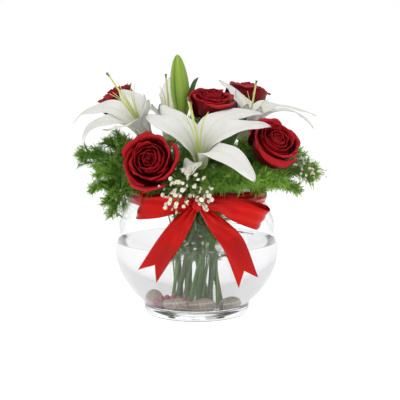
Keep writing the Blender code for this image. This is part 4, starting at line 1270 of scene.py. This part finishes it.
def rose_shape(rose, sizes, number):
    """Petals in a spiral: the inner ones wrap the heart, the outer ones open and roll back."""
    chance = random.Random(40 + number)
    shape = Shape()
    high, wide = 15, 17
    for n in range(sizes.petals):
        t = n / (sizes.petals - 1)
        wide_at = rose.radius * (0.06 + 0.84 * t**0.82 + chance.uniform(-0.035, 0.035) * min(1.0, 3 * t))
        top = rose.radius * (1.24 - 0.16 * t * t + chance.uniform(-0.07, 0.05))
        reach = math.radians(150 - 98 * t**0.35)
        turn = math.radians(GOLDEN_ANGLE * n + chance.uniform(-14, 14))
        roll = chance.uniform(0.50, 1.45)
        swing = chance.uniform(-1.0, 1.0)
        phase, waves = chance.uniform(0, 6.3), chance.uniform(3.6, 6.4)
        profile = []
        for (r0, z0), (r1, z1) in zip(TIGHT, OPEN):
            profile.append((wide_at * (r0 + (r1 - r0) * t**0.7), top * (z0 + (z1 - z0) * t**0.7), 0))
        rim = profile[-1]
        inner = profile[3][0]
        profile[-1] = (inner + (rim[0] - inner) * roll, rim[1] - (roll - 1) * 0.05 * rose.radius, 0)
        rows = []
        for i in range(high):
            s = (i / (high - 1)) ** 0.9
            row = []
            for j in range(wide):
                a = j / (wide - 1) * 2 - 1
                lower = s * (1 - (0.10 + 0.12 * t) * abs(a) ** 2.6 - 0.05 * (swing * a + abs(swing)))
                point = along(profile, lower)
                open_up = soft_step(0.50, 0.95, lower)
                broad, fine = math.sin(a * waves + phase), math.sin(a * waves * 2.6 + phase * 2)
                ruffle = rose.radius * open_up * (0.042 * broad + 0.026 * fine)
                belly = rose.radius * 0.05 * t * open_up * (1 - a * a) * (roll - 0.7)
                r = point.x * (1 + 0.075 * a) + ruffle * 0.9 + belly
                angle = turn + reach * a * (0.55 + 0.45 * soft_step(0.0, 0.45, s)) + 0.12 * s
                z = point.y + ruffle * 0.6 - rose.radius * 0.02 * a
                row.append(Vector((r * math.cos(angle), r * math.sin(angle), z)))
            rows.append(row)
        tint = chance.uniform(0.0, 0.22)
        # The outer side's higher tone gives it painted shade.
        shape.slab(rows, sizes.thickness, None, (0.62 + tint, tint))
    heart = [(0.0, 0.0), (0.17, 0.0), (0.42, 0.10), (0.40, 0.35), (0.20, 0.55), (0.0, 0.60)]
    # The heart's tone of 0.9 gives it the same painted shade.
    shape.turned([(rose.radius * r, rose.radius * z) for r, z in heart], 20, None, lambda a, s: 0.9)
    return shape.moved(facing(placed(rose.base), rose.axis, rose.turn))


def rose_stem_shape(rose, number):
    """A stem with its hip, five turned-back sepals and a few thorns."""
    chance = random.Random(70 + number)
    shape = Shape()
    line = branch(bundle(rose.waist_radius, rose.waist_angle), rose, 0.020)
    shape.tube(line, knobbly(line, 0.0028, chance), 12, 0.45)
    hip = [(0.0, -0.0085), (0.0024, -0.0080), (0.0046, -0.0055), (0.0058, -0.0030), (0.0056, -0.0010),
           (0.0040, 0.0), (0.0, 0.0002)]
    parts = Shape().turned(hip, 16, lambda angle, share: 1 + 0.04 * math.cos(5 * angle), lambda a, s: 0.7)
    for k in range(5):
        angle = math.radians(72 * k + chance.uniform(-9, 9))
        out, side = round_upright(angle)
        droop = chance.uniform(-0.004, 0.004)
        points = [out * 0.0045, out * 0.0120 + UP * 0.0012, out * 0.0190 + UP * (0.0030 + droop),
                  out * 0.0245 + UP * (0.0005 + droop * 2)]
        rows = []
        for i in range(15):
            s = i / 14
            half = max(0.0003, 0.0031 * math.sin(math.pi * (0.18 + 0.80 * s)))
            centre = along(points, s)
            rows.append([centre + side * half * v + UP * (0.0007 * abs(v) ** 1.5)
                         for v in (-1, -0.5, 0, 0.5, 1)])
        parts.slab(rows, 0.0006, None, (0.6, 0.4))
    shape.join(parts.moved(facing(placed(rose.base), rose.axis, rose.turn)))
    for k in range(4):
        i = int(len(line) * (0.62 + 0.09 * k))
        way = (line[i] - line[i - 1]).normalized()
        out = (Matrix.Rotation(chance.uniform(0, 6.3), 3, way) @ way.orthogonal()).normalized()
        thorn = [line[i] + out * 0.0020, line[i] + out * 0.0040 - way * 0.0006,
                 line[i] + out * 0.0062 - way * 0.0020]
        shape.tube(thorn, [0.0017, 0.0009, 0.0002], 7, 0.9)
    return shape


# ---------------------------------------------------------------- ferns and baby's breath
def needle_tree(material):
    """Twigs along polylines, with needles all round them that lean towards the twig's tip."""
    graph, start = new_tree("needles on twigs", [
        ("Needle length", "Float"), ("Needle radius", "Float"), ("Spacing", "Float"),
        ("Twig radius", "Float"),
        ("Lean", "Float"), ("Seed", "Int")])
    curves, twigs = wired(graph, start, "Twig radius", 5)
    points = graph.node("GeometryNodeCurveToPoints", {"mode": "LENGTH"},
                        {"Curve": curves, "Length": start.output("Spacing")})
    needle = graph.node("GeometryNodeMeshCone", None, {
        "Vertices": 3, "Side Segments": 1, "Radius Top": start.output("Needle radius") * 0.25,
        "Radius Bottom": start.output("Needle radius"), "Depth": start.output("Needle length")})
    chance = dice(graph, start)
    spin = graph.node("ShaderNodeCombineXYZ", None, {
        0: start.output("Lean") * chance(0.65, 1.3, 1), 1: chance(-0.3, 0.3, 2), 2: chance(0.0, 6.2832, 3)})
    turn = graph.node("FunctionNodeEulerToRotation", None, {0: spin})
    facing_out = graph.node("FunctionNodeRotateRotation", {"rotation_space": "LOCAL"}, {
        "Rotation": points.output("Rotation"), "Rotate By": turn})
    needles = graph.node("GeometryNodeInstanceOnPoints", None, {
        "Points": points, "Instance": needle, "Rotation": facing_out, "Scale": chance(0.55, 1.15, 4)})
    shaded = toned(graph, needles, "INSTANCE", chance(0.25, 1.0, 5))
    dull = toned(graph, twigs, "POINT", 0.15)
    return close_tree(graph, [shaded, dull], material)


def bloom_tree(material):
    """Thin stalks along polylines, with a flower head on the end of each."""
    graph, start = new_tree("heads on stalks", [
        ("Stalk radius", "Float"), ("Head", "Object"), ("Head size", "Float"), ("Seed", "Int")])
    curves, stalks = wired(graph, start, "Stalk radius", 5)
    ends = graph.node("GeometryNodeCurveEndpointSelection", None, {"Start Size": 0, "End Size": 1})
    head = graph.node("GeometryNodeObjectInfo", None, {"Object": start.output("Head")}, "Geometry")
    chance = dice(graph, start)
    spin = graph.node("ShaderNodeCombineXYZ", None,
                      {0: chance(0.0, 6.28, 1), 1: chance(0.0, 6.28, 2), 2: chance(0.0, 6.28, 3)})
    heads = graph.node("GeometryNodeInstanceOnPoints", None, {
        "Points": curves, "Selection": ends, "Instance": head,
        "Rotation": graph.node("FunctionNodeEulerToRotation", None, {0: spin}),
        "Scale": start.output("Head size") * chance(0.70, 1.15, 4)})
    pale = toned(graph, heads, "INSTANCE", 1.0)
    green = toned(graph, stalks, "POINT", 0.0)
    return close_tree(graph, [pale, green], material)


def bead_tree(material):
    """Round beads, a little flattened, threaded on a cord."""
    graph, start = new_tree("beads on a thread", [
        ("Bead radius", "Float"), ("Pitch", "Float"), ("Thread radius", "Float"), ("Seed", "Int")])
    curves, thread = wired(graph, start, "Thread radius", 6)
    points = graph.node("GeometryNodeCurveToPoints", {"mode": "LENGTH"},
                        {"Curve": curves, "Length": start.output("Pitch")})
    bead = graph.node("GeometryNodeMeshUVSphere", None,
                      {"Segments": 14, "Rings": 9, "Radius": start.output("Bead radius")})
    chance = graph.node("FunctionNodeRandomValue", {"data_type": "FLOAT"},
                        {2: 0.0, 3: 1.0, 8: start.output("Seed")}, 1)
    beads = graph.node("GeometryNodeInstanceOnPoints", None, {
        "Points": points, "Instance": bead, "Rotation": points.output("Rotation"), "Scale": (1.0, 1.0, 0.94)})
    shaded = toned(graph, beads, "INSTANCE", chance)
    dark = toned(graph, thread, "POINT", 0.0)
    return close_tree(graph, [shaded, dark], material)


def frond_twigs(start, tip, rise, width, sizes, chance):
    """Twigs of one frond: they spring from its axis on all sides, longest a third of the way out."""
    line = [start, start.lerp(tip, 0.5) + UP * rise, tip]
    length = (tip - start).length
    twigs = [smooth(line, 8)]
    count = max(6, int(length / sizes.twigs))
    for n in range(count):
        s = 0.03 + 0.95 * n / (count - 1)
        root = along(line, s)
        ahead = (along(line, min(1, s + 0.02)) - along(line, s - 0.02)).normalized()
        side = ahead.cross(UP).normalized()
        up = side.cross(ahead)
        roll = (0 if n % 2 else math.pi) + chance.uniform(-0.9, 0.9)
        out = side * math.cos(roll) + up * math.sin(roll) * 0.75
        spread = math.sin(math.pi * min(1.0, 0.10 + 0.90 * s)) ** 0.8
        long = width * 0.62 * spread * chance.uniform(0.65, 1.15) + 0.004
        lean = chance.uniform(0.50, 0.95)
        way = (out + ahead * lean).normalized()
        bend = ahead * long * 0.22 + UP * long * chance.uniform(-0.10, 0.16)
        twig = [root, root + way * long * 0.5 + bend * 0.3, root + way * long + bend]
        twigs.append(smooth(twig, 3))
        if long > 0.010:
            fork = root + way * long * 0.45 + bend * 0.25
            off = (way + side * chance.uniform(-0.8, 0.8) + up * chance.uniform(-0.6, 0.6)).normalized()
            middle, end = off * long * 0.28 + ahead * 0.001, off * long * 0.55 + bend * 0.4
            twigs.append(smooth([fork, fork + middle, fork + end], 2))
    return twigs


def held_in(point):
    """The point, drawn in where it would reach past the bouquet's outline."""
    limits = [(low + 0.006, high - 0.006) for low, high in zip(*CAD_BOX)]
    limits[2] = (0.004, CAD_BOX[1][2])
    return Vector([
        min(max(v, low + (v - low) * 0.2), high + (v - high) * 0.2)
        for v, (low, high) in zip(point, limits)
    ])


def fern_piece(spray, number, sizes, tree, material):
    """One fern: its stem, its fronds, and the sparse twigs that its stem keeps inside the bowl."""
    chance = random.Random(sizes.seed * 10 + number)
    fan = placed(spray.fan)
    stem = smooth([*bundle(spray.waist_radius, spray.waist_angle), fan], 8)
    twigs = []
    for frond in spray.fronds:
        twigs += frond_twigs(fan, placed(frond.tip), frond.rise, frond.width, sizes, chance)
    for point, after in zip(stem, stem[1:]):
        if WATER_LEVEL - 0.024 < point.z < RIM:
            for _ in range(5):
                ahead = (after - point).normalized()
                out = (Matrix.Rotation(chance.uniform(0, 6.3), 3, ahead) @ ahead.orthogonal()).normalized()
                long = chance.uniform(0.010, 0.017)
                bend, end = (out + ahead) * long * 0.4, (out + ahead * 0.4) * long
                twigs.append(smooth([point, point + bend, point + end], 2))
    middle = math.atan2(fan.y, fan.x)
    for n in range(46):
        way, far = middle + math.radians(50 * (n / 22.5 - 1)), chance.uniform(0.076, 0.096)
        out, near = Vector((math.cos(way), math.sin(way), 0)), chance.uniform(0.040, 0.060)
        low = placed((0, 0, chance.uniform(0.002, 0.010)))
        end = placed((0, 0, chance.uniform(-0.003, 0.030)))
        turn = Matrix.Rotation(chance.uniform(-0.25, 0.25), 3, "Z")
        twigs.append(smooth([low + out * near, (low + end) / 2 + out * (near + far) / 2 + UP * 0.005,
                             end + turn @ out * far], 4))
    twigs = [[held_in(point) for point in twig] for twig in twigs]
    name = spray.name + "_green"
    green = grown(name + "_needles", twigs, tree, {
        "Needle length": sizes.needle, "Needle radius": 0.00050, "Spacing": sizes.spacing,
        "Twig radius": 0.00035,
        "Lean": 0.85, "Seed": sizes.seed + number})
    trunk = Shape().tube(stem, knobbly(stem, 0.0014, chance), 9, 0.4)
    for n in range(4):
        line = smooth([*bundle(chance.uniform(0.008, 0.027), spray.waist_angle + chance.uniform(-45, 45)),
                       fan], 8)
        trunk.tube(line, knobbly(line, chance.uniform(0.0007, 0.0012), chance), 6, chance.uniform(0.1, 0.5))
    return merged(name, [trunk.build(name + "_stem", material), green])


def head_object(material):
    """One double floret: three whorls of small notched petals round a cup. Its radius is 1."""
    shape = Shape()
    for count, lean, long, shift in ((7, 1.35, 0.95, 0.0), (6, 0.80, 0.92, 0.5), (4, 0.28, 0.85, 0.2)):
        for k in range(count):
            angle = 2 * math.pi * (k + shift) / count
            out, side = round_upright(angle)
            way = out * math.sin(lean) + UP * math.cos(lean)
            lift = UP * math.sin(lean) - out * math.cos(lean)
            rows = []
            for s, half in ((0.1, 0.10), (0.6, 0.36), (1.0, 0.24)):
                centre = way * long * s + lift * 0.22 * math.sin(math.pi * s)
                rows.append([centre - side * half, centre - lift * 0.05 - way * (0.12 if s == 1.0 else 0),
                             centre + side * half])
            shape.slab(rows, 0.10)
    return shape.build("floret_head", material)


def breath_piece(spray, number, sizes, tree, head, extra, small):
    """A spray of tiny double flowers: a head at each place, and a few smaller ones beside it."""
    chance = random.Random(sizes.seed * 20 + number)
    hub = placed(spray.hub)
    above = Vector((hub.x * 0.62, hub.y * 0.62, hub.z))
    stalks = []
    for place in spray.florets:
        tip = placed(place)
        elbow = hub.lerp(tip, 0.5) + UP * 0.003
        stalks.append(smooth([hub, elbow, tip], 4))
        for _ in range(extra):
            fork = elbow.lerp(tip, chance.uniform(0.1, 0.6))
            off = Vector([chance.uniform(low, high) for low, high in ((-1, 1), (-0.5, 0.9), (-0.9, 0.9))])
            off.normalize()
            end = tip + off * chance.uniform(0.006, 0.0105)
            stalks.append(smooth([fork, fork.lerp(end, 0.5) + UP * 0.001, end], 3))
    stem = smooth([*bundle(spray.waist_radius, spray.waist_angle), above, hub], 7)
    for place in small:
        root = min(stem, key=lambda p: (p - Vector(place)).length)
        stalks.append(smooth([root, root.lerp(Vector(place), 0.5) + UP * 0.004, Vector(place)], 4))
    name = spray.name + "_spray"
    heads = grown(name + "_heads", stalks, tree, {
        "Stalk radius": 0.00035, "Head": head, "Head size": sizes.head * (1.0 if number == 0 else 0.72),
        "Seed": sizes.seed + number})
    trunk = Shape().tube(stem, 0.0009, 8, 0.0).build(name + "_stem", head.data.materials[0])
    return merged(name, [trunk, heads])


# ---------------------------------------------------------------- shells and beads
def laid(point):
    """A point on the bowl's floor."""
    return Vector(point) + UP * (FLOOR - 0.0003)


def shell_shape(shell, sizes):
    """A closed clam: two domed valves, ribbed from the beak, that meet in a sharp line."""
    half = Vector((shell.length / 2, shell.width / 2, shell.height))
    across, deep = sizes.ribs * 4 + 1, 13
    shape = Shape()
    beak = Vector((0.0, -0.78, 0.0))
    for side in (1, -1):
        corners, places, tones = [], [], []
        for i in range(deep):
            q = (i / (deep - 1)) ** 0.85
            for j in range(across):
                u = j / (across - 1)
                turn = math.radians(-90 - 172 + 344 * u) + math.pi
                rib = 0.5 + 0.5 * math.cos(2 * math.pi * u * sizes.ribs)
                margin = Vector((math.cos(turn), math.sin(turn), 0)) * (1 + 0.018 * rib)
                flat = beak.lerp(margin, q)
                dome = 0.52 + q * 2.0
                if q > 0.14:
                    dome = math.sin(math.pi * min(1.0, 0.12 + 0.88 * (1 - q))) ** 0.62
                rise = max(0.0, dome * (1 - flat.length_squared * 0.35)) * (1 + 0.055 * rib * q)
                rise *= 1 - (i == deep - 1)
                corners.append(Vector((flat.x * half.y, flat.y * half.x, side * rise * half.z / 1.3)))
                places.append((u, q))
                # tone is high in the grooves between the ribs, where the finish paints shade.
                tones.append(1 - rib)
        faces = []
        for i in range(deep - 1):
            for j in range(across - 1):
                a = i * across + j
                quad = (a, a + 1, a + 1 + across, a + across)
                faces.append(quad if side < 0 else quad[::-1])
        shape.add(corners, faces, places, tones)
    turn = Matrix.Rotation(math.radians(shell.turn), 4, "Z") @ Matrix.Rotation(math.radians(-shell.tilt), 4,
                                                                               "Y")
    shape.moved(turn @ Matrix.Rotation(math.radians(-90), 4, "Z"))
    lift = 0.0003 - min(c.z for c in shape.corners)
    return shape.moved(Matrix.Translation(laid((*shell.place, lift))))


BEAD_ROUTE = (
    (-0.0385, -0.0315, 0.0031), (-0.0420, -0.0270, 0.0031), (-0.0445, -0.0225, 0.0041),
    (-0.0450, -0.0180, 0.0100),
    (-0.0390, -0.0165, 0.0175), (-0.0260, -0.0260, 0.0195), (-0.0120, -0.0345, 0.0180),
)


# ---------------------------------------------------------------- operators
class Maker:
    bl_options = {"REGISTER", "UNDO"}


class BOUQUET_OT_bowl(Maker, bpy.types.Operator):
    """Turns the clear glass bowl"""

    bl_idname = "bouquet.bowl"
    bl_label = "Glass bowl"

    def execute(self, context):
        sizes = context.scene.bouquet_bowl
        bowl = bowl_shape(sizes).build("fish_bowl", glass_finish(sizes))
        settle(bowl, "glass", "glass_bowl")
        return {"FINISHED"}


class BOUQUET_OT_water(Maker, bpy.types.Operator):
    """Fills the bowl with water"""

    bl_idname = "bouquet.water"
    bl_label = "Water"

    def execute(self, context):
        sizes = context.scene.bouquet_bowl
        settle(water_shape(sizes).build("water_fill", water_finish(sizes)), "water", "water")
        return {"FINISHED"}


class BOUQUET_OT_ribbon(Maker, bpy.types.Operator):
    """Ties the satin ribbon round the neck, with its knot, loops and tails"""

    bl_idname = "bouquet.ribbon"
    bl_label = "Satin ribbon"

    def execute(self, context):
        sizes = context.scene.bouquet_ribbon
        satin = satin_finish(sizes)

        def cloth(name, shape, length, node):
            piece = settle(shape.build(name, satin), "red_satin", node)

        shape, length = band_pieces(sizes)
        cloth("satin_band", shape, length, "ribbon_neckband")
        shape, length = knot_shape(sizes)
        cloth("satin_knot", shape, length, "ribbon_knot")
        for side, word in ((-1, "left"), (1, "right")):
            rows, places, length = loop_rows(side, sizes)
            cloth(f"satin_loop_{word}", Shape().slab(rows, sizes.thickness, places), length,
                  f"ribbon_loop_{word}")
            rows, places, length = tail_rows(side, sizes)
            cloth(f"satin_tail_{word}", Shape().slab(rows, sizes.thickness, places), length,
                  f"ribbon_tail_{word}")
        return {"FINISHED"}


class BOUQUET_OT_lilies(Maker, bpy.types.Operator):
    """Makes the tepals and stamens of the four open lilies"""

    bl_idname = "bouquet.lilies"
    bl_label = "Lilies"

    def execute(self, context):
        sizes = context.scene.bouquet_lily
        petal, pistil = tepal_finish(sizes), pistil_finish(sizes)
        for number, lily in enumerate(LILIES):
            frame_of = facing(placed(lily.base), lily.axis)
            for k, tepal in enumerate(lily.tepals):
                rows = tepal_rows(tepal, lily.turn + 60 * k, 1 - k % 2, sizes, number * 1.7 + k * 2.3)
                shape = Shape().slab(rows, sizes.thickness, None, (1.0, 0.0)).moved(frame_of)
                settle(shape.build(f"{lily.name}_petal_{k + 1}", petal), "lily_white",
                       f"{lily.name}_tepal_{k + 1}")
            shape = stamens_shape(lily.style).moved(frame_of)
            settle(shape.build(f"{lily.name}_pistil", pistil), "pistil_yellow", f"{lily.name}_stamens")
        return {"FINISHED"}


class BOUQUET_OT_lily_stems(Maker, bpy.types.Operator):
    """Makes the two forked lily stems, their leaves and the closed bud"""

    bl_idname = "bouquet.lily_stems"
    bl_label = "Lily stems and bud"

    def execute(self, context):
        green = green_finish("stem_green", (0.190, 0.300, 0.070), (0.040, 0.095, 0.022))
        front, left, back, right = LILIES
        shape = lily_stem_shape(
            (left, back), (0.009, 175), (-0.0350, 0.0060, 0.0100), BUD,
            ((SIDE_LEAF, 0.0110, 0.45), (BRACT, 0.0060, 0.10)), (0.018, 0.018))
        settle(shape.build("lily_stalk_left", green), "stem_green", "lily_stem_left")
        shape = lily_stem_shape(
            (front, right), (0.009, -50), (0.0280, -0.0220, 0.0060), None,
            ((FRONT_LEAF, 0.0120, 0.12),), (0.014, 0.020))
        settle(shape.build("lily_stalk_right", green), "stem_green", "lily_stem_right")
        settle(bud_shape().build("closed_lily_bud", bud_finish()), "bud_green", "lily_bud")
        return {"FINISHED"}


class BOUQUET_OT_roses(Maker, bpy.types.Operator):
    """Makes the five roses"""

    bl_idname = "bouquet.roses"
    bl_label = "Roses"

    def execute(self, context):
        sizes = context.scene.bouquet_rose
        red = rose_finish(sizes)
        for number, rose in enumerate(ROSES):
            bloom = rose_shape(rose, sizes, number).build(f"{rose.name}_bloom", red)
            settle(bloom, "rose_red", rose.name)
        return {"FINISHED"}


class BOUQUET_OT_rose_stems(Maker, bpy.types.Operator):
    """Makes the rose stems with their hips, sepals and thorns"""

    bl_idname = "bouquet.rose_stems"
    bl_label = "Rose stems"

    def execute(self, context):
        green = green_finish("rose_stem_green", (0.130, 0.220, 0.050), (0.045, 0.085, 0.025))
        for number, rose in enumerate(ROSES):
            stalk = rose_stem_shape(rose, number).build(f"{rose.name}_stalk", green)
            settle(stalk, "stem_green", f"{rose.name}_stem")
        return {"FINISHED"}


class BOUQUET_OT_ferns(Maker, bpy.types.Operator):
    """Grows the four ferns"""

    bl_idname = "bouquet.ferns"
    bl_label = "Ferns"

    def execute(self, context):
        sizes = context.scene.bouquet_green
        material = needle_finish(sizes)
        tree = needle_tree(material)
        for number, spray in enumerate(FERNS):
            settle(fern_piece(spray, number, sizes, tree, material), "fern_green", spray.name)
        return {"FINISHED"}


class BOUQUET_OT_breath(Maker, bpy.types.Operator):
    """Grows the two sprays of baby's breath"""

    bl_idname = "bouquet.breath"
    bl_label = "Baby's breath"

    def execute(self, context):
        sizes = context.scene.bouquet_green
        material = breath_finish()
        tree = bloom_tree(material)
        head = head_object(material)
        floating = (
            (-0.012, -0.040, 0.0915), (-0.004, -0.046, 0.0930), (0.004, -0.040, 0.0990),
            (0.008, -0.044, 0.0920),
            (0.013, -0.038, 0.0900),
        )
        dipped = ((0.052, -0.020, 0.116), (0.060, -0.012, 0.108), (0.056, -0.024, 0.101),
                  (0.066, -0.018, 0.099))
        for number, (spray, extra, small) in enumerate(zip(BREATHS, (3, 4), (floating, dipped))):
            piece = breath_piece(spray, number, sizes, tree, head, extra, small)
            settle(piece, "breath_white", spray.name)
        bpy.data.objects.remove(head, do_unlink=True)
        return {"FINISHED"}


class BOUQUET_OT_shells(Maker, bpy.types.Operator):
    """Lays the shells on the bowl's floor"""

    bl_idname = "bouquet.shells"
    bl_label = "Shells"

    def execute(self, context):
        sizes = context.scene.bouquet_floor
        pale = shell_finish(sizes)
        for shell in SHELLS:
            settle(shell_shape(shell, sizes).build(f"{shell.name}_clam", pale), "shell_pale", shell.name)
        return {"FINISHED"}


class BOUQUET_OT_beads(Maker, bpy.types.Operator):
    """Strings the red beads along their route"""

    bl_idname = "bouquet.beads"
    bl_label = "Beads"

    def execute(self, context):
        sizes = context.scene.bouquet_floor
        material = bead_finish()
        route = smooth([laid(point) for point in BEAD_ROUTE], 10)
        strand = grown("red_beads", [route], bead_tree(material), {
            "Bead radius": sizes.bead, "Pitch": sizes.pitch, "Thread radius": 0.0006, "Seed": 5})
        settle(strand, "bead_red", "bead_strand")
        return {"FINISHED"}


class BOUQUET_OT_stage(Maker, bpy.types.Operator):
    """Sets the pale floor, the soft studio light and the camera"""

    bl_idname = "bouquet.stage"
    bl_label = "Stage"

    def execute(self, context):
        sizes, scene = context.scene.bouquet_stage, context.scene
        floor = Shape().turned([(0.0, -0.01), (9.0, -0.01), (9.0, 0.0), (4.0, 0.0), (0.4, 0.0), (0.0, 0.0)],
                               48)
        floor.moved(Matrix.Translation((0, 0, -0.0002))).build("studio_floor", floor_finish())

        target = Vector((0.004, 0.0, 0.137))
        eye = target + sizes.distance * Vector((0, -math.cos(sizes.elevation), math.sin(sizes.elevation)))
        lens = bpy.data.cameras.new("camera")
        lens.lens, lens.clip_start, lens.clip_end = sizes.lens, 0.05, 40.0
        camera = linked(bpy.data.objects.new("camera", lens))
        camera.location = eye
        camera.rotation_euler = (target - eye).to_track_quat("-Z", "Y").to_euler()
        scene.camera = camera

        for name, place, size, power in (
            ("key", (-1.3, -1.7, 2.1), 1.3, sizes.key),
            ("fill", (1.9, -1.2, 1.0), 1.6, sizes.key * 0.35),
            ("top", (0.2, 0.6, 2.4), 1.4, sizes.key * 0.5),
        ):
            lamp = bpy.data.lights.new(name, "AREA")
            lamp.size, lamp.energy = size, power
            light = linked(bpy.data.objects.new(name, lamp))
            light.location = place
            light.rotation_euler = (UP * 0.15 - Vector(place)).to_track_quat("-Z", "Y").to_euler()

        world = bpy.data.worlds.new("studio")
        world.use_nodes = True
        scene.world = world
        graph = Graph(world.node_tree)
        seen = graph.node("ShaderNodeBackground", None, {"Color": (1.0, 1.0, 1.0, 1.0), "Strength": 1.0})
        lit = world.node_tree.nodes["Background"]
        lit.inputs["Color"].default_value = (0.98, 0.99, 1.0, 1.0)
        lit.inputs["Strength"].default_value = sizes.ambient
        path = graph.node("ShaderNodeLightPath", output="Is Diffuse Ray")
        outside = path + path.output("Is Glossy Ray") - path.output("Is Transmission Ray")
        both = graph.node("ShaderNodeMixShader", None, {0: outside, 1: seen})
        graph.tree.links.new(lit.outputs[0], both.socket.node.inputs[2])
        graph.put(world.node_tree.nodes["World Output"].inputs["Surface"], both)
        scene.view_settings.view_transform = "Standard"
        return {"FINISHED"}


class BOUQUET_PT_panel(bpy.types.Panel):
    """Lists the steps that make the bouquet"""

    bl_label = "Lilies and roses"
    bl_idname = "BOUQUET_PT_panel"
    bl_space_type = "VIEW_3D"
    bl_region_type = "UI"
    bl_category = "Bouquet"

    def draw(self, context):
        for maker in MAKERS:
            self.layout.operator(maker.bl_idname)
        for word in SETTINGS:
            box = self.layout.box()
            sizes = getattr(context.scene, word)
            box.label(text=word.split("_")[1].title())
            for name in sizes.__annotations__:
                box.prop(sizes, name)


SETTINGS = {
    "bouquet_bowl": BowlSettings,
    "bouquet_ribbon": RibbonSettings,
    "bouquet_lily": LilySettings,
    "bouquet_rose": RoseSettings,
    "bouquet_green": GreenSettings,
    "bouquet_floor": FloorSettings,
    "bouquet_stage": StageSettings,
}
MAKERS = (
    BOUQUET_OT_bowl, BOUQUET_OT_water, BOUQUET_OT_ribbon, BOUQUET_OT_lilies, BOUQUET_OT_lily_stems,
    BOUQUET_OT_roses,
    BOUQUET_OT_rose_stems, BOUQUET_OT_ferns, BOUQUET_OT_breath, BOUQUET_OT_shells, BOUQUET_OT_beads,
    BOUQUET_OT_stage,
)


def register():
    for group in (*SETTINGS.values(), *MAKERS, BOUQUET_PT_panel):
        bpy.utils.register_class(group)
    for word, group in SETTINGS.items():
        setattr(bpy.types.Scene, word, PointerProperty(type=group))


def unregister():
    for word in SETTINGS:
        delattr(bpy.types.Scene, word)
    for group in reversed((*SETTINGS.values(), *MAKERS, BOUQUET_PT_panel)):
        bpy.utils.unregister_class(group)


def main():
    register()
    for maker in MAKERS:
        group, name = maker.bl_idname.split(".")
        getattr(getattr(bpy.ops, group), name)()


if __name__ == "__main__":
    main()
